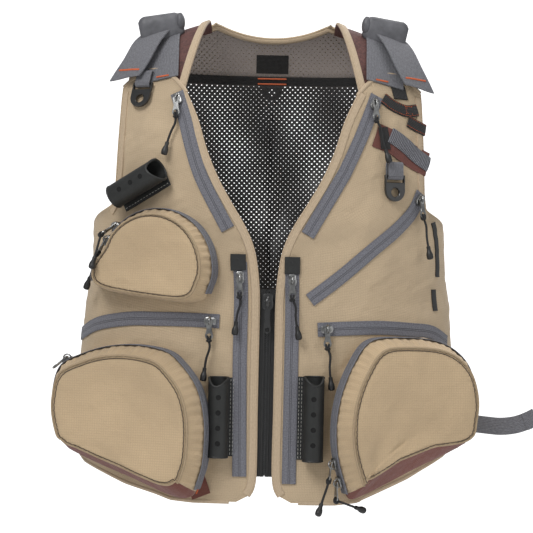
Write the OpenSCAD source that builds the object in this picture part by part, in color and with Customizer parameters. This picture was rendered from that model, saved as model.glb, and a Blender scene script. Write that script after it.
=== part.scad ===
// Zip-front fishing vest, worn on the shoulders. Millimetres, +Z up, front towards -Y.
// The origin is the middle of the shoulder line, where a wearer or a hanger carries the vest.
// "Right" and "left" are the wearer's own sides, so right is at -X.

/* [Body] */
// Half width of the body at the hip
hip_w = 212; // [196:1:230]
// Half width of the body at the chest
chest_w = 197; // [186:1:210]
// Depth from the side seam to the front
depth_front = 128; // [110:1:140]
// Depth from the side seam to the back
depth_back = 118; // [100:1:130]
// Height of the rounded shoulder part
dome_h = 200; // [180:1:220]
// Drop of the shoulder line for each millimetre outwards
shoulder_slope = 0.33; // [0.2:0.01:0.4]

/* [Fabric] */
// Thickness of the shell fabric with its lining
shell_t = 2; // [1.5:0.1:2.4]
// Thickness of a zipper tape
tape_t = 1.2; // [0.8:0.1:1.4]
// Thickness of webbing
webbing_t = 1.6; // [1.2:0.1:1.8]

/* [Pockets] */
// Depth of a lower pocket, from the body to its face
pocket_depth = 62; // [50:1:66]
// Depth of the upper pocket
upper_depth = 48; // [40:1:52]
// Wall thickness of a pocket
wall_t = 2; // [1.5:0.1:2.5]

/* [Hardware] */
// Bore radius of a D-ring
ring_bore_r = 5; // [4:0.1:5.5]
// Thickness of a D-ring
ring_t = 4; // [3:0.1:4.5]
// Outer radius of a tool tube
tube_r = 13.5; // [12:0.5:14.5]

/* [Hidden] */

khaki = "tan";
grey = "slategray";
black = [0.1, 0.1, 0.1];
brown = [0.36, 0.18, 0.15];

// Superellipse power of the body's level and upright sections
power = 2.4;
// Half width of the neck where the shoulders start to slope
neck_half = 62;
// The hip runs into the chest over this stretch of height
waist_z = -420;
waist_run = 200;
// Levels of the hem at the front edge, in the middle of a front and at the side seam
hem_front_z = -541;
hem_side_z = -500;
// Level where the armhole meets the side seam
armpit_z = -244;
// Clearance between pieces that lie on each other, so that none overlap
lie = 0.5;
// Offsets of the layers above the body's surface
tape_o = shell_t + lie;
trim_o = tape_o + tape_t + lie;
// Samples between two control points of a curve
fine = 5;

// ---------- small helpers ----------
function unit(v) = v / norm(v);
function mix(a, b, t) = a * (1 - t) + b * t;
function clamp(t) = max(0, min(1, t));
function ease(t) = let (c = clamp(t)) c * c * (3 - 2 * c);
function last(list) = list[len(list) - 1];

// Catmull-Rom point between b and c
function spline_at(a, b, c, d, t) =
    0.5 * ((2 * b) + (c - a) * t + (2 * a - 5 * b + 4 * c - d) * t * t
    + (3 * b - a - 3 * c + d) * t * t * t);

// Open curve through the points
function curve(p, n = fine) = let (e = len(p) - 1) [
    for (i = [0 : e - 1]) for (k = [0 : n - 1])
        spline_at(p[max(0, i - 1)], p[i], p[i + 1], p[min(e, i + 2)], k / n),
    p[e]
];

// Closed curve through the points
function loop(p, n = 3) = let (e = len(p)) [
    for (i = [0 : e - 1]) for (k = [0 : n - 1])
        spline_at(p[(i + e - 1) % e], p[i], p[(i + 1) % e], p[(i + 2) % e], k / n)
];

// ---------- the body's surface ----------
function half_width(z) = hip_w - (hip_w - chest_w) * ease((z - waist_z) / waist_run);
function top_z(x) = -shoulder_slope * max(0, abs(x) - neck_half);
function dome(x, z) = pow(1 - pow(clamp((z - top_z(x) + dome_h) / dome_h), power), 1 / power);

// Point at a level, at an angle round the body: 0 front, 90 left side, 180 back
function skin(phi, z) = let (
    s = sin(phi), c = cos(phi),
    x = half_width(z) * sign(s) * pow(abs(s), 2 / power),
    d = c > 0 ? depth_front : depth_back
) [x, -d * sign(c) * pow(abs(c), 2 / power) * dome(x, z), z];

function skin_normal(phi, z) = unit(cross(
    skin(phi + 0.5, z) - skin(phi - 0.5, z),
    skin(phi, z + 1) - skin(phi, z - 1)));

// Angle round the body of a front point with that x
function angle_of(x, z) = asin(sign(x) * pow(min(1, abs(x) / half_width(z)), power / 2));

// Front point and back point seen at x, z, lifted off the surface
function front(x, z, lift = 0) = let (a = angle_of(x, z)) skin(a, z) + skin_normal(a, z) * lift;
function front_normal(x, z) = skin_normal(angle_of(x, z), z);
function back(x, z, lift = 0) =
    let (a = 180 - angle_of(x, z)) skin(a, z) + skin_normal(a, z) * lift;

// Point at a turn over the shoulder: -90 front, 0 the ridge, 90 back
function over(x, turn, lift = 0) = over_point(x, turn) + over_normal(x, turn) * lift;
function over_point(x, turn) = let (
    d = turn < 0 ? depth_front : depth_back,
    side = pow(1 - pow(min(1, abs(x) / chest_w), power), 1 / power)
) [
    x,
    sign(turn) * d * side * pow(abs(sin(turn)), 2 / power),
    top_z(x) - dome_h * (1 - pow(cos(turn), 2 / power))
];
function over_normal(x, turn) = unit(cross(
    over_point(x + 1, turn) - over_point(x - 1, turn),
    over_point(x, turn + 1.5) - over_point(x, turn - 1.5)));

// ---------- builders of closed solids ----------
// Slab between an outer and an inner grid of points
module slab(outer, inner) {
    rows = len(outer);
    cols = len(outer[0]);
    function at(layer, r, c) = layer * rows * cols + r * cols + c;
    rim = concat(
        [for (c = [0 : cols - 1]) [0, c]],
        [for (r = [1 : rows - 1]) [r, cols - 1]],
        [for (c = [cols - 2 : -1 : 0]) [rows - 1, c]],
        [for (r = [rows - 2 : -1 : 1]) [r, 0]]);
    faces = concat(
        [for (r = [0 : rows - 2]) for (c = [0 : cols - 2]) each [
            [at(0, r, c), at(0, r + 1, c), at(0, r, c + 1)],
            [at(0, r, c + 1), at(0, r + 1, c), at(0, r + 1, c + 1)],
            [at(1, r, c), at(1, r, c + 1), at(1, r + 1, c)],
            [at(1, r, c + 1), at(1, r + 1, c + 1), at(1, r + 1, c)]]],
        [for (i = [0 : len(rim) - 1]) let (a = rim[i], b = rim[(i + 1) % len(rim)]) each [
            [at(0, a[0], a[1]), at(0, b[0], b[1]), at(1, a[0], a[1])],
            [at(0, b[0], b[1]), at(1, b[0], b[1]), at(1, a[0], a[1])]]]);
    polyhedron(concat([for (row = outer) each row], [for (row = inner) each row]), faces);
}

// Flat band along 3-D points, with a normal for each, lying between two heights over the points
module ribbon(points, normals, width, low, high) {
    n = len(points) - 1;
    function across(i) = unit(cross(
        points[min(n, i + 1)] - points[max(0, i - 1)], normals[i]));
    function edge(i, side, h) =
        points[i] + across(i) * side * (is_list(width) ? width[i] : width) / 2 + normals[i] * h;
    slab(
        [for (i = [0 : n]) [edge(i, -1, high), edge(i, 1, high)]],
        [for (i = [0 : n]) [edge(i, -1, low), edge(i, 1, low)]]);
}

// Band on the front of the body through x, z points
module front_band(path, width, low, thick) {
    line = curve(path);
    ribbon([for (p = line) front(p[0], p[1])], [for (p = line) front_normal(p[0], p[1])],
        width, low, low + thick);
}

// Closed wall or cup: rings of points from the back to the front, each with an inner ring
module ring_solid(outer, inner, closed_front = false) {
    n = len(outer[0]);
    m = len(outer);
    function at(layer, r, c) = layer * m * n + r * n + (c % n);
    top = 2 * m * n;
    faces = concat(
        [for (r = [0 : m - 2]) for (c = [0 : n - 1]) each [
            [at(0, r, c), at(0, r, c + 1), at(0, r + 1, c)],
            [at(0, r, c + 1), at(0, r + 1, c + 1), at(0, r + 1, c)],
            [at(1, r, c), at(1, r + 1, c), at(1, r, c + 1)],
            [at(1, r, c + 1), at(1, r + 1, c), at(1, r + 1, c + 1)]]],
        [for (c = [0 : n - 1]) each [
            [at(0, 0, c), at(1, 0, c), at(0, 0, c + 1)],
            [at(0, 0, c + 1), at(1, 0, c), at(1, 0, c + 1)]]],
        closed_front
            ? [for (c = [0 : n - 1]) each [
                [at(0, m - 1, c), at(0, m - 1, c + 1), top],
                [at(1, m - 1, c), top + 1, at(1, m - 1, c + 1)]]]
            : [for (c = [0 : n - 1]) each [
                [at(0, m - 1, c), at(0, m - 1, c + 1), at(1, m - 1, c)],
                [at(0, m - 1, c + 1), at(1, m - 1, c + 1), at(1, m - 1, c)]]]);
    function middle(ring) = [for (k = [0 : 2]) let (s = [for (p = ring) p[k]]) sum(s) / len(s)];
    points = concat([for (r = outer) each r], [for (r = inner) each r],
        closed_front ? [middle(last(outer)), middle(last(inner))] : []);
    polyhedron(points, faces);
}
function sum(list, i = 0, s = 0) = i == len(list) ? s : sum(list, i + 1, s + list[i]);

// Children drawn with their x, y and z along three given directions, at a point
module place(at, x, y, z) {
    multmatrix([
        [x[0], y[0], z[0], at[0]],
        [x[1], y[1], z[1], at[1]],
        [x[2], y[2], z[2], at[2]],
        [0, 0, 0, 1]]) children();
}

// Frame of a point on the surface: x level along the fabric, y up along it, z outwards
module on_surface(at, normal) {
    level = unit(cross([0, 0, 1], normal));
    place(at, level, cross(normal, level), normal) children();
}

// ---------- fronts ----------
// Front edge of the left panel from the hem to the neck, as x, z
neck_edge = [
    [30, -541], [15, -533], [9, -514], [9, -440], [9, -380], [9, -320], [12, -285],
    [17, -262], [27, -240], [42, -215], [56, -190], [69, -160], [81, -122], [95, -91]
];
// Levels of the panel's rows, from the hem to its top
panel_rows = [-541, -530, -514, -490, -460, -430, -400, -370, -340, -315, -290, -268, -252,
    -240, -228, -215, -200, -185, -168, -150, -132, -114, -97];
panel_cols = 18;
// The armhole's edge on the front and on the back, as level and x
armhole_x = [[-244, 197], [-228, 180], [-215, 173.5], [-200, 171.5], [-150, 169.5],
    [-100, 167], [-60, 164], [-20, 158]];
// The side seam's angle round the body
seam_angle = 94;
armhole_turns_z = -215;
armhole_turn = 29;

function edge_x(z) = lookup(z, [for (p = neck_edge) [p[1], p[0]]]);
function top_edge_z(t) = -97 + 26 * sin(180 * pow(t, 0.8)) + 10 * t;
function side_share(z) = ease((armhole_turns_z - z) / armhole_turn);
function outer_angle(z) = z < armpit_z
    ? seam_angle : mix(angle_of(lookup(z, armhole_x), z), seam_angle, side_share(z));

// Point of the left panel: t runs from the front edge to the armhole or side seam
function panel_point(row, t, lift) = let (
    z0 = panel_rows[row],
    lower = hem_front_z + (hem_side_z - hem_front_z) * pow(t, 2),
    share = (z0 - panel_rows[0]) / (last(panel_rows) - panel_rows[0]),
    z = mix(lower, top_edge_z(t), share),
    a = mix(angle_of(edge_x(z0), z), outer_angle(z), t)
) skin(a, z) + skin_normal(a, z) * lift;

module front_panel() {
    function grid(lift) = [for (r = [0 : len(panel_rows) - 1])
        [for (c = [0 : panel_cols]) panel_point(r, c / panel_cols, lift)]];
    slab(grid(shell_t), grid(0));
}

module right_front_panel() { color(khaki) mirror([1, 0, 0]) front_panel(); }
module left_front_panel() { color(khaki) front_panel(); }

// ---------- back ----------
// Levels of the back from the hem to the shoulder blades; above them, shares of the way to the rim
back_rows = [-505, -480, -455, -430, -400, -370, -340, -310, -280, -255, -235, -215, -190,
    -165, -140, -115, -90, -68];
rim_rows = [0.3, 0.6, 0.8, 0.92, 1];
back_cols = 24;
back_gap = 0.5;
waist_top_z = -320;
// Half width of the back's neckline, its middle's level, and how far the rim is behind the ridge
neckline_half = 66;
neckline_z = -17;
rim_turn = 12;
rim_drop = dome_h * (1 - pow(cos(rim_turn), 2 / power));
mesh_t = 1.2;
back_o = mesh_t + lie;

function rim_z(x) = abs(x) < neckline_half
    ? neckline_z + (-neckline_z - rim_drop) * pow(x / neckline_half, 2) : top_z(x) - rim_drop;
function back_edge(z) = z < armpit_z ? seam_angle + back_gap
    : mix(180 - angle_of(lookup(z, armhole_x), z), seam_angle + back_gap, side_share(z));
function back_point(level, t, lift) = let (
    low = level < 0 ? level : last(back_rows),
    e = back_edge(low),
    a = mix(e, 360 - e, t),
    x = skin(a, low)[0],
    z = level < 0 ? level : mix(low, rim_z(x), level)
) skin(a, z) + skin_normal(a, z) * lift;

module back_slab(rows, low, high) {
    function grid(lift) =
        [for (level = rows) [for (c = [0 : back_cols]) back_point(level, c / back_cols, lift)]];
    slab(grid(high), grid(low));
}

module back_mesh() { color("dimgray") back_slab(concat(back_rows, rim_rows), 0, mesh_t); }
module back_panels() {
    color(khaki) {
        back_slab([for (z = back_rows) if (z < waist_top_z) z], back_o, back_o + shell_t);
        back_slab(concat([last(back_rows)], rim_rows), back_o, back_o + shell_t);
    }
}

// ---------- shoulders ----------
yoke_front_turn = -56;
yoke_o = -2.6;
yoke_t = 2;
// Neck edge and armhole edge of a shoulder at a turn over it
function shoulder_in(turn) = 72 + 22 * pow(max(0, -turn) / 52, 1.5);
function shoulder_out(turn) = 154 + 8 * pow(abs(turn) / 50, 1.3);

module shoulder_yoke() {
    turns = [for (i = [0 : 12]) mix(rim_turn + 4, yoke_front_turn, i / 12)];
    function grid(lift) = [for (turn = turns)
        [for (c = [0 : 6]) over(mix(shoulder_in(turn), shoulder_out(turn), c / 6), turn, lift)]];
    slab(grid(yoke_o), grid(yoke_o + yoke_t));
}

module shoulder_yokes() {
    color(brown) for (m = [0, 1]) mirror([m, 0, 0]) shoulder_yoke();
}

// Band over a shoulder through x, turn, lift points
module over_band(path, width, thick) {
    line = curve(path, 4);
    ribbon([for (p = line) over(p[0], p[1], p[2])], [for (p = line) over_normal(p[0], p[1])],
        width, 0, thick);
}

// Webbing from the top of a front over the shoulder to the back yoke
strap_w = 46;
strap_path = [[124, -49, 2.5], [125, -38, 1], [126, -24, 1], [126, -8, 1], [126, 6, 3], [125, 14, 5],
    [124, 26, 5]];
// Loose end of the webbing, from the lock down the front
tail_w = 38;
right_tail = [[-131, -13, 13.5], [-137, -26, 12.5], [-146, -37, 12.5], [-157, -45, 13.5]];
left_tail = [[131, -14, 13.5], [137, -27, 12.5], [146, -38, 12], [157, -47, 12.6]];

// Webbing loop that a D-ring hangs on, in the frame of the ring's bar
loop_w = 19;
loop_gap = 2.4;
loop_up = 14;
module ring_loop() {
    difference() {
        translate([-loop_w / 2, -loop_gap - webbing_t, -loop_gap - webbing_t])
            cube([loop_w, loop_up + loop_gap + 2 * webbing_t, 2 * (loop_gap + webbing_t)]);
        translate([-loop_w / 2 - 1, -loop_gap, -loop_gap])
            cube([loop_w + 2, loop_up + loop_gap, 2 * loop_gap]);
    }
}

ring_lift = shell_t + 0.6 + loop_gap + webbing_t;
right_ring_xz = [-140, -85];
left_ring_xz = [134, -181];
rear_ring_z = -62;
module at_right_ring() {
    on_surface(front(right_ring_xz[0], right_ring_xz[1], ring_lift),
        front_normal(right_ring_xz[0], right_ring_xz[1])) children();
}
module at_left_ring() {
    on_surface(front(left_ring_xz[0], left_ring_xz[1], ring_lift),
        front_normal(left_ring_xz[0], left_ring_xz[1])) children();
}
module at_rear_ring() {
    on_surface(back(0, rear_ring_z, ring_lift + back_o), skin_normal(180, rear_ring_z)) children();
}

module shoulder_straps() {
    color(grey) {
        for (m = [0, 1]) mirror([m, 0, 0]) over_band(strap_path, strap_w, webbing_t);
        at_right_ring() ring_loop();
        at_left_ring() ring_loop();
        at_rear_ring() ring_loop();
    }
}

module strap_tails() {
    color(grey) {
        over_band(right_tail, tail_w, webbing_t);
        over_band(left_tail, tail_w, webbing_t);
    }
}

// Ladder lock: a plate with two slots and round ends
lock_size = [54, 30, 4.5];
lock_slot = [41, 5];
module strap_lock() {
    turn = -9;
    n = over_normal(129, turn);
    level = unit(cross(cross(n, [1, 0, 0]), n));
    place(over(129, turn, 4.2), level, cross(n, level), n) {
        difference() {
            union() {
                translate([-lock_size[0] / 2, -lock_size[1] / 2 + 4, 0])
                    cube([lock_size[0], lock_size[1] - 8, lock_size[2]]);
                for (s = [-1, 1]) translate([0, s * (lock_size[1] / 2 - 4), lock_size[2] / 2])
                    rotate([0, 90, 0])
                        cylinder(r = lock_size[2] / 2, h = lock_size[0], center = true, $fn = 24);
            }
            for (s = [-1, 1]) translate([-lock_slot[0] / 2, s * 6 - lock_slot[1] / 2, -1])
                cube([lock_slot[0], lock_slot[1], lock_size[2] + 2]);
        }
    }
}
module strap_locks() { color("dimgray") for (m = [0, 1]) mirror([m, 0, 0]) strap_lock(); }

// ---------- D-rings ----------
// In the frame of the bar: the plate hangs below it, with a slot for the webbing and a round bore
ring_w = 25;
ring_slot = [21.4, 7];
ring_bar_r = 1.3;
ring_bore_v = -18;
module d_ring() {
    difference() {
        union() {
            translate([0, -15.5, -ring_t / 2]) cylinder(r = ring_w / 2, h = ring_t, $fn = 48);
            translate([-ring_w / 2, -15.5, -ring_t / 2]) cube([ring_w, 15.5 + ring_bar_r, ring_t]);
        }
        translate([-ring_slot[0] / 2, -ring_slot[1], -ring_t])
            cube([ring_slot[0], ring_slot[1] + 2 * ring_bar_r, 2 * ring_t]);
        translate([0, ring_bore_v, -ring_t]) cylinder(r = ring_bore_r, h = 2 * ring_t, $fn = 48);
    }
    rotate([0, 90, 0]) cylinder(r = ring_bar_r, h = ring_w - 1, center = true, $fn = 24);
}
module right_d_ring() { color(black) at_right_ring() d_ring(); }
module left_d_ring() { color(black) at_left_ring() d_ring(); }
module rear_d_ring() { color(black) at_rear_ring() d_ring(); }

// ---------- bindings ----------
binding_w = 7;
binding_t = 1;
module edge_bindings() {
    color(khaki) for (m = [0, 1]) mirror([m, 0, 0]) {
        front_band([for (p = neck_edge) if (p[1] > -535) [p[0] + 4.5, p[1]]],
            binding_w, tape_o, binding_t);
        front_band([for (z = [-214, -200, -180, -150, -120, -96])
            [lookup(z, armhole_x) - 4.5, z]], binding_w, tape_o, binding_t);
        over_band([for (turn = [-46, -36, -26, -16, -6, 4]) [shoulder_in(turn) + 4, turn, 0.2]],
            binding_w, binding_t);
        over_band([for (turn = [-46, -36, -26, -16, -6, 4]) [shoulder_out(turn) - 4, turn, 0.2]],
            binding_w, binding_t);
    }
}

// ---------- zips ----------
tape_w = 15.5;
right_chest_zip = [[-104, -94], [-95, -121], [-88, -148], [-79, -177], [-68, -201], [-45, -243]];
left_chest_zip = [[115, -93], [99, -137], [84, -172], [77, -186], [42, -248]];
right_edge_zip = [[-31, -279], [-29, -320], [-29, -397], [-27, -513]];
left_edge_zip = [[26, -286], [27, -341], [27, -402], [27, -520]];
right_slash_zip = [[-52, -344], [-85, -343], [-118, -343], [-152, -344], [-187, -351], [-208, -364]];
left_slash_zip = [[55, -351], [91, -349], [124, -348], [158, -350], [182, -353], [200, -364]];
left_slant_zip = [[166, -198], [157, -219], [139, -240], [114, -262], [79, -293], [46, -319]];

module zip_tapes() {
    color(grey) for (path = [right_chest_zip, left_chest_zip, right_edge_zip, left_edge_zip,
            right_slash_zip, left_slash_zip, left_slant_zip])
        front_band(path, tape_w, tape_o, tape_t);
}

// The front zip's two tapes lie behind the panels' edges, with the rows of teeth between them
front_zip_low = -513;
front_zip_top = -308;
teeth_w = 4;
module front_zip() {
    levels = [for (i = [0 : 6]) mix(front_zip_low, front_zip_top, i / 6)];
    color(black) for (s = [-1, 1]) {
        ribbon([for (z = levels) front(s * (teeth_w + 7.5), z)],
            [for (z = levels) front_normal(s * 10, z)], 13, -1.8, -0.6);
        ribbon([for (z = levels) front(s * (teeth_w / 2 + 0.2), z)],
            [for (z = levels) front_normal(0, z)], teeth_w, -3, 1.2);
    }
}

// ---------- sliders and pulls ----------
slider_w = 9;
slider_l = 13;
slider_h = 2.8;
slider_gap = 1;
pin_h = 2;
pin_r = 0.8;
bridge_t = 1.2;
bridge_half = 2.6;
tab_l = 16;
tab_w = 7.4;
tab_t = 1.4;
tab_neck = 5.8;
tab_eye_r = 1.9;
cord_r = 1.3;
grip_l = 15;
grip_r = 3.1;
// Route of a pull's cord from the tab's eye to the grip: sideways and down, millimetres
cord_route = [
    [0, 0], [0.5, 2.5], [1.2, 5], [1.8, 7.5], [2.1, 10], [2, 12.5], [1.6, 15], [1.1, 17.5],
    [0.6, 20], [0.3, 22.5], [0.1, 25], [0, 27.5], [-0.1, 30], [0, 32.5], [0, 35]
];
cord_route_l = 35;

// Sliders on the flat zips: resting x, z; x, z further along; drop and sideways drift of the cord;
// how far the pull leans out over 60 mm, when it isn't pull_lean
pull_lean = 2;
front_stop = [[0, -322], [0, -350]];
right_chest_stop = [[-102, -102], [-95, -121], 32, -9];
left_chest_stop = [[111.5, -103], [105, -120], 35, 11, 5];
right_edge_stop = [[-30.5, -296], [-29, -330], 30, -3];
left_edge_stop = [[26.3, -298], [27, -330], 32, 6];
right_slash_stop = [[-62, -344], [-85, -343], 33, -4];
left_slash_stop = [[65, -350.4], [91, -349], 34, 4];
left_slant_stop = [[162.5, -206], [152, -226], 34, 4, 9];

// Frame of a pull: its pin, then the directions level, up along the pull, and outwards
function pull_frame(pivot, down, normal) = let (
    v = -unit(down),
    w = unit(normal - v * (normal * v))
) [pivot, cross(v, w), v, w];
function stop_frame(stop, top = tape_o + tape_t) = let (
    x = stop[0][0], z = stop[0][1],
    lift = top + slider_gap + slider_h + pin_h,
    lean = len(stop) > 4 ? stop[4] : pull_lean,
    pivot = front(x, z, lift)
) pull_frame(pivot, front(x, z - 60, lift + lean) - pivot, front_normal(x, z));

module in_frame(f) { place(f[0], f[1], f[2], f[3]) children(); }

// Arch that a pull's pin turns in
module bridge() {
    for (s = [-1, 1])
        translate([-bridge_t / 2, s * bridge_half - bridge_t / 2, -pin_h - 0.7])
            cube([bridge_t, bridge_t, pin_h + 3.4]);
    translate([-bridge_t / 2, -bridge_half - bridge_t / 2, pin_h])
        cube([bridge_t, 2 * bridge_half + bridge_t, bridge_t]);
}

// Slider's plate: x across the zip, y along it, z outwards, standing on its origin
module slider_plate(scale_by = 1) {
    w = slider_w * scale_by;
    l = slider_l * scale_by;
    translate([-w / 2, -l / 2, 0]) cube([w, l - w / 2, slider_h]);
    translate([0, l / 2 - w / 2, 0]) cylinder(r = w / 2, h = slider_h, $fn = 32);
}

module zip_slider(stop, scale_by = 1, top = tape_o + tape_t) {
    at = front(stop[0][0], stop[0][1], top + slider_gap);
    n = front_normal(stop[0][0], stop[0][1]);
    across = unit(cross(front(stop[1][0], stop[1][1]) - at, n));
    place(at, across, cross(n, across), n) slider_plate(scale_by);
    in_frame(stop_frame(stop, top)) bridge();
}

module tab(length = tab_l, width = tab_w) {
    rotate([0, 90, 0]) cylinder(r = pin_r, h = width - 0.4, center = true, $fn = 24);
    for (s = [-1, 1]) translate([s * (width / 2 - 0.7), -tab_neck / 2, 0])
        cube([1.4, tab_neck + 1, tab_t], center = true);
    difference() {
        union() {
            translate([-width / 2, -length, -tab_t / 2]) cube([width, length - tab_neck, tab_t]);
            translate([0, -length, -tab_t / 2]) cylinder(r = width / 2, h = tab_t, $fn = 32);
        }
        translate([0, -length, -2]) cylinder(r = tab_eye_r, h = 4, $fn = 32);
    }
}

// Cord's points in its pull's frame, from the tab's lower end
cord_start = tab_l + tab_w / 2 - 0.6;
function cord_line(drop, drift, out = 0) = [for (p = cord_route) let (s = p[1] / cord_route_l)
    [p[0] + drift * s, -cord_start - drop * s, out * s]];

module tube(line, r, sides = 8) {
    n = len(line) - 1;
    function ring(i) = let (
        t = unit(line[min(n, i + 1)] - line[max(0, i - 1)]),
        a = unit(cross(t, [0, 0, 1])),
        b = cross(t, a)
    ) [for (k = [0 : sides - 1]) let (q = 360 * k / sides) line[i] + (a * cos(q) + b * sin(q)) * r];
    points = [for (i = [0 : n]) each ring(i)];
    faces = concat(
        [[for (k = [0 : sides - 1]) k]],
        [[for (k = [sides - 1 : -1 : 0]) n * sides + k]],
        [for (i = [0 : n - 1]) for (k = [0 : sides - 1]) let (m = (k + 1) % sides) each [
            [i * sides + k, (i + 1) * sides + k, i * sides + m],
            [i * sides + m, (i + 1) * sides + k, (i + 1) * sides + m]]]);
    polyhedron(points, faces);
}

module cord(drop, drift, out = 0) { color(black) tube(cord_line(drop, drift, out), cord_r); }

// Moulded grip on the cord's lower end, in line with the cord
grip_hold = 1.5;
module grip(drop, drift, out = 0) {
    way = unit([drift, -drop, out]);
    level = unit(cross(way, [0, 0, 1]));
    place([drift, -cord_start - drop, out] - way * grip_hold, level, cross(way, level), way) {
        cylinder(r1 = cord_r + 0.5, r2 = grip_r, h = grip_l * 0.4, $fn = 24);
        translate([0, 0, grip_l * 0.4]) cylinder(r = grip_r, h = grip_l * 0.6, $fn = 24);
    }
}

module pull(drop, drift, out = 0) {
    color("silver") tab();
    color(black) grip(drop, drift, out);
}

module front_slider() { color(black) zip_slider(front_stop, 1.35, 1.2); }
module front_pull() { color(black) in_frame(stop_frame(front_stop, 1.2)) tab(30, 8.4); }
module stop_pull(stop) { in_frame(stop_frame(stop)) pull(stop[2], stop[3]); }
module stop_cord(stop) { in_frame(stop_frame(stop)) cord(stop[2], stop[3]); }
module stop_slider(stop) { color("silver") zip_slider(stop); }
module right_chest_slider() { stop_slider(right_chest_stop); }
module right_chest_pull() { stop_pull(right_chest_stop); }
module right_chest_cord() { stop_cord(right_chest_stop); }
module left_chest_slider() { stop_slider(left_chest_stop); }
module left_chest_pull() { stop_pull(left_chest_stop); }
module left_chest_cord() { stop_cord(left_chest_stop); }
module right_edge_slider() { stop_slider(right_edge_stop); }
module right_edge_pull() { stop_pull(right_edge_stop); }
module right_edge_cord() { stop_cord(right_edge_stop); }
module left_edge_slider() { stop_slider(left_edge_stop); }
module left_edge_pull() { stop_pull(left_edge_stop); }
module left_edge_cord() { stop_cord(left_edge_stop); }
module right_slash_slider() { stop_slider(right_slash_stop); }
module right_slash_pull() { stop_pull(right_slash_stop); }
module right_slash_cord() { stop_cord(right_slash_stop); }
module left_slash_slider() { stop_slider(left_slash_stop); }
module left_slash_pull() { stop_pull(left_slash_stop); }
module left_slash_cord() { stop_cord(left_slash_stop); }
module left_slant_slider() { stop_slider(left_slant_stop); }
module left_slant_pull() { stop_pull(left_slant_stop); }
module left_slant_cord() { stop_cord(left_slant_stop); }

// ---------- pockets ----------
// A pocket's mouth lies in an upright plane that is turned towards its side of the body.
// [point of the plane, side, arc's centre across and up, arc's radius, the point its face shrinks to]
pocket_turn = 21;
right_pocket = [[-146, -118, -450], -1, [0, -74], 152, [-10, -62]];
left_pocket = [[150, -120.4, -450], 1, [67, -10], 148, [14, -44]];
upper_pocket = [[-125, -115, -280], -1, [5.4, -8], 66, [2, -30]];

function pocket_u(p) = [cos(pocket_turn), p[1] * sin(pocket_turn), 0];
function pocket_w(p) = [p[1] * sin(pocket_turn), -cos(pocket_turn), 0];
function pocket_at(p, q, w) = p[0] + pocket_u(p) * q[0] + [0, 0, q[1]] + pocket_w(p) * w;
function arc(p, from, to, steps) = [for (i = [0 : steps]) let (a = mix(from, to, i / steps))
    p[2] + p[3] * [cos(a), sin(a)]];

// Outlines of the three mouths, each an arc that its slider runs on and then the rest by points
right_outline = loop(concat(arc(right_pocket, 124, 74, 4),
    [[60, 59], [78, 36], [87, 8], [89, -24], [84, -60], [64, -87], [-4, -66], [-58, -47],
    [-80, -35], [-91, -10], [-94, 20]]));
left_outline = loop(concat([[74, -24.6], [16, -52], [-45, -80], [-62, -83]],
    arc(left_pocket, 203, 152, 4), [[-45, 86], [-15, 92], [38, 88], [71, 68], [85, 36], [85, 4]]));
upper_outline = loop(concat(arc(upper_pocket, 162, 2, 8),
    [[68, -24], [54, -43], [8, -42], [-62, -31], [-72.5, -11]]));

// Outline drawn in towards the pocket's anchor by a share, then by a wall
function drawn_in(p, outline, share, wall = 0) = [for (q = outline) let (r = p[4] - q)
    q + r * share + unit(r) * wall];
function ring_at(p, outline, w, share, wall = 0) =
    [for (q = drawn_in(p, outline, share, wall)) pocket_at(p, q, w)];

// Ring of the pocket's foot, on the body under its mouth, drawn in round the side of the body
side_start = 188;
side_share_x = 0.36;
function foot_x(x) = abs(x) < side_start ? x : sign(x) * mix(side_start, abs(x), side_share_x);
function foot_ring(p, outline, wall = 0) = [for (q = drawn_in(p, outline, 0, wall))
    let (m = pocket_at(p, q, 0)) front(foot_x(m[0]), m[2], shell_t + lie)];

mouth_gap = 0.5;
module pocket_base(p, outline) {
    ring_solid(
        [foot_ring(p, outline), ring_at(p, outline, -mouth_gap, 0)],
        [foot_ring(p, outline, wall_t), ring_at(p, outline, -mouth_gap, 0, wall_t)]);
}

// A lid's rings: height over the mouth and share drawn in, both for a lid of full depth
lid_rings = [[0, 0], [0.4, 0.03], [0.75, 0.075], [0.93, 0.12], [1, 0.2], [1.05, 0.45]];
module pocket_lid(p, outline, depth) {
    ring_solid(
        [for (r = lid_rings) ring_at(p, outline, max(mouth_gap, r[0] * depth), r[1])],
        [for (r = lid_rings)
            ring_at(p, outline, max(mouth_gap, r[0] * (depth - wall_t)), r[1], wall_t)],
        true);
}

lid_depth = pocket_depth / 2;
upper_lid_depth = upper_depth / 2;
module right_pocket_base() { color(khaki) pocket_base(right_pocket, right_outline); }
module left_pocket_base() { color(khaki) pocket_base(left_pocket, left_outline); }
module upper_pocket_base() { color(khaki) pocket_base(upper_pocket, upper_outline); }
module right_pocket_lid() { color(khaki) pocket_lid(right_pocket, right_outline, lid_depth); }
module left_pocket_lid() { color(khaki) pocket_lid(left_pocket, left_outline, lid_depth); }
module upper_pocket_lid() {
    color(khaki) pocket_lid(upper_pocket, upper_outline, upper_lid_depth);
}

// Sliders on the pockets' arcs: pocket, angle on its arc, the way the pull hangs across, up and out,
// then the drop, sideways drift and outward drift of its cord
right_pocket_stop = [right_pocket, 121, [-0.75, -0.62, 0.1]];
left_pocket_stop = [left_pocket, 193.5, [-0.3, -0.95, 0.4], 30, 2, 5];
left_end_stop = [left_pocket, 201.4, [0.05, -0.98, -0.08], 11.5, -7.5, -27.5];
upper_pocket_stop = [upper_pocket, 139, [-0.62, -0.6, 0.62], 24, 1, -18.5];
upper_end_stop = [upper_pocket, 154, [-0.56, -0.84, -0.12], 30, 0, -6];

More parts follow.
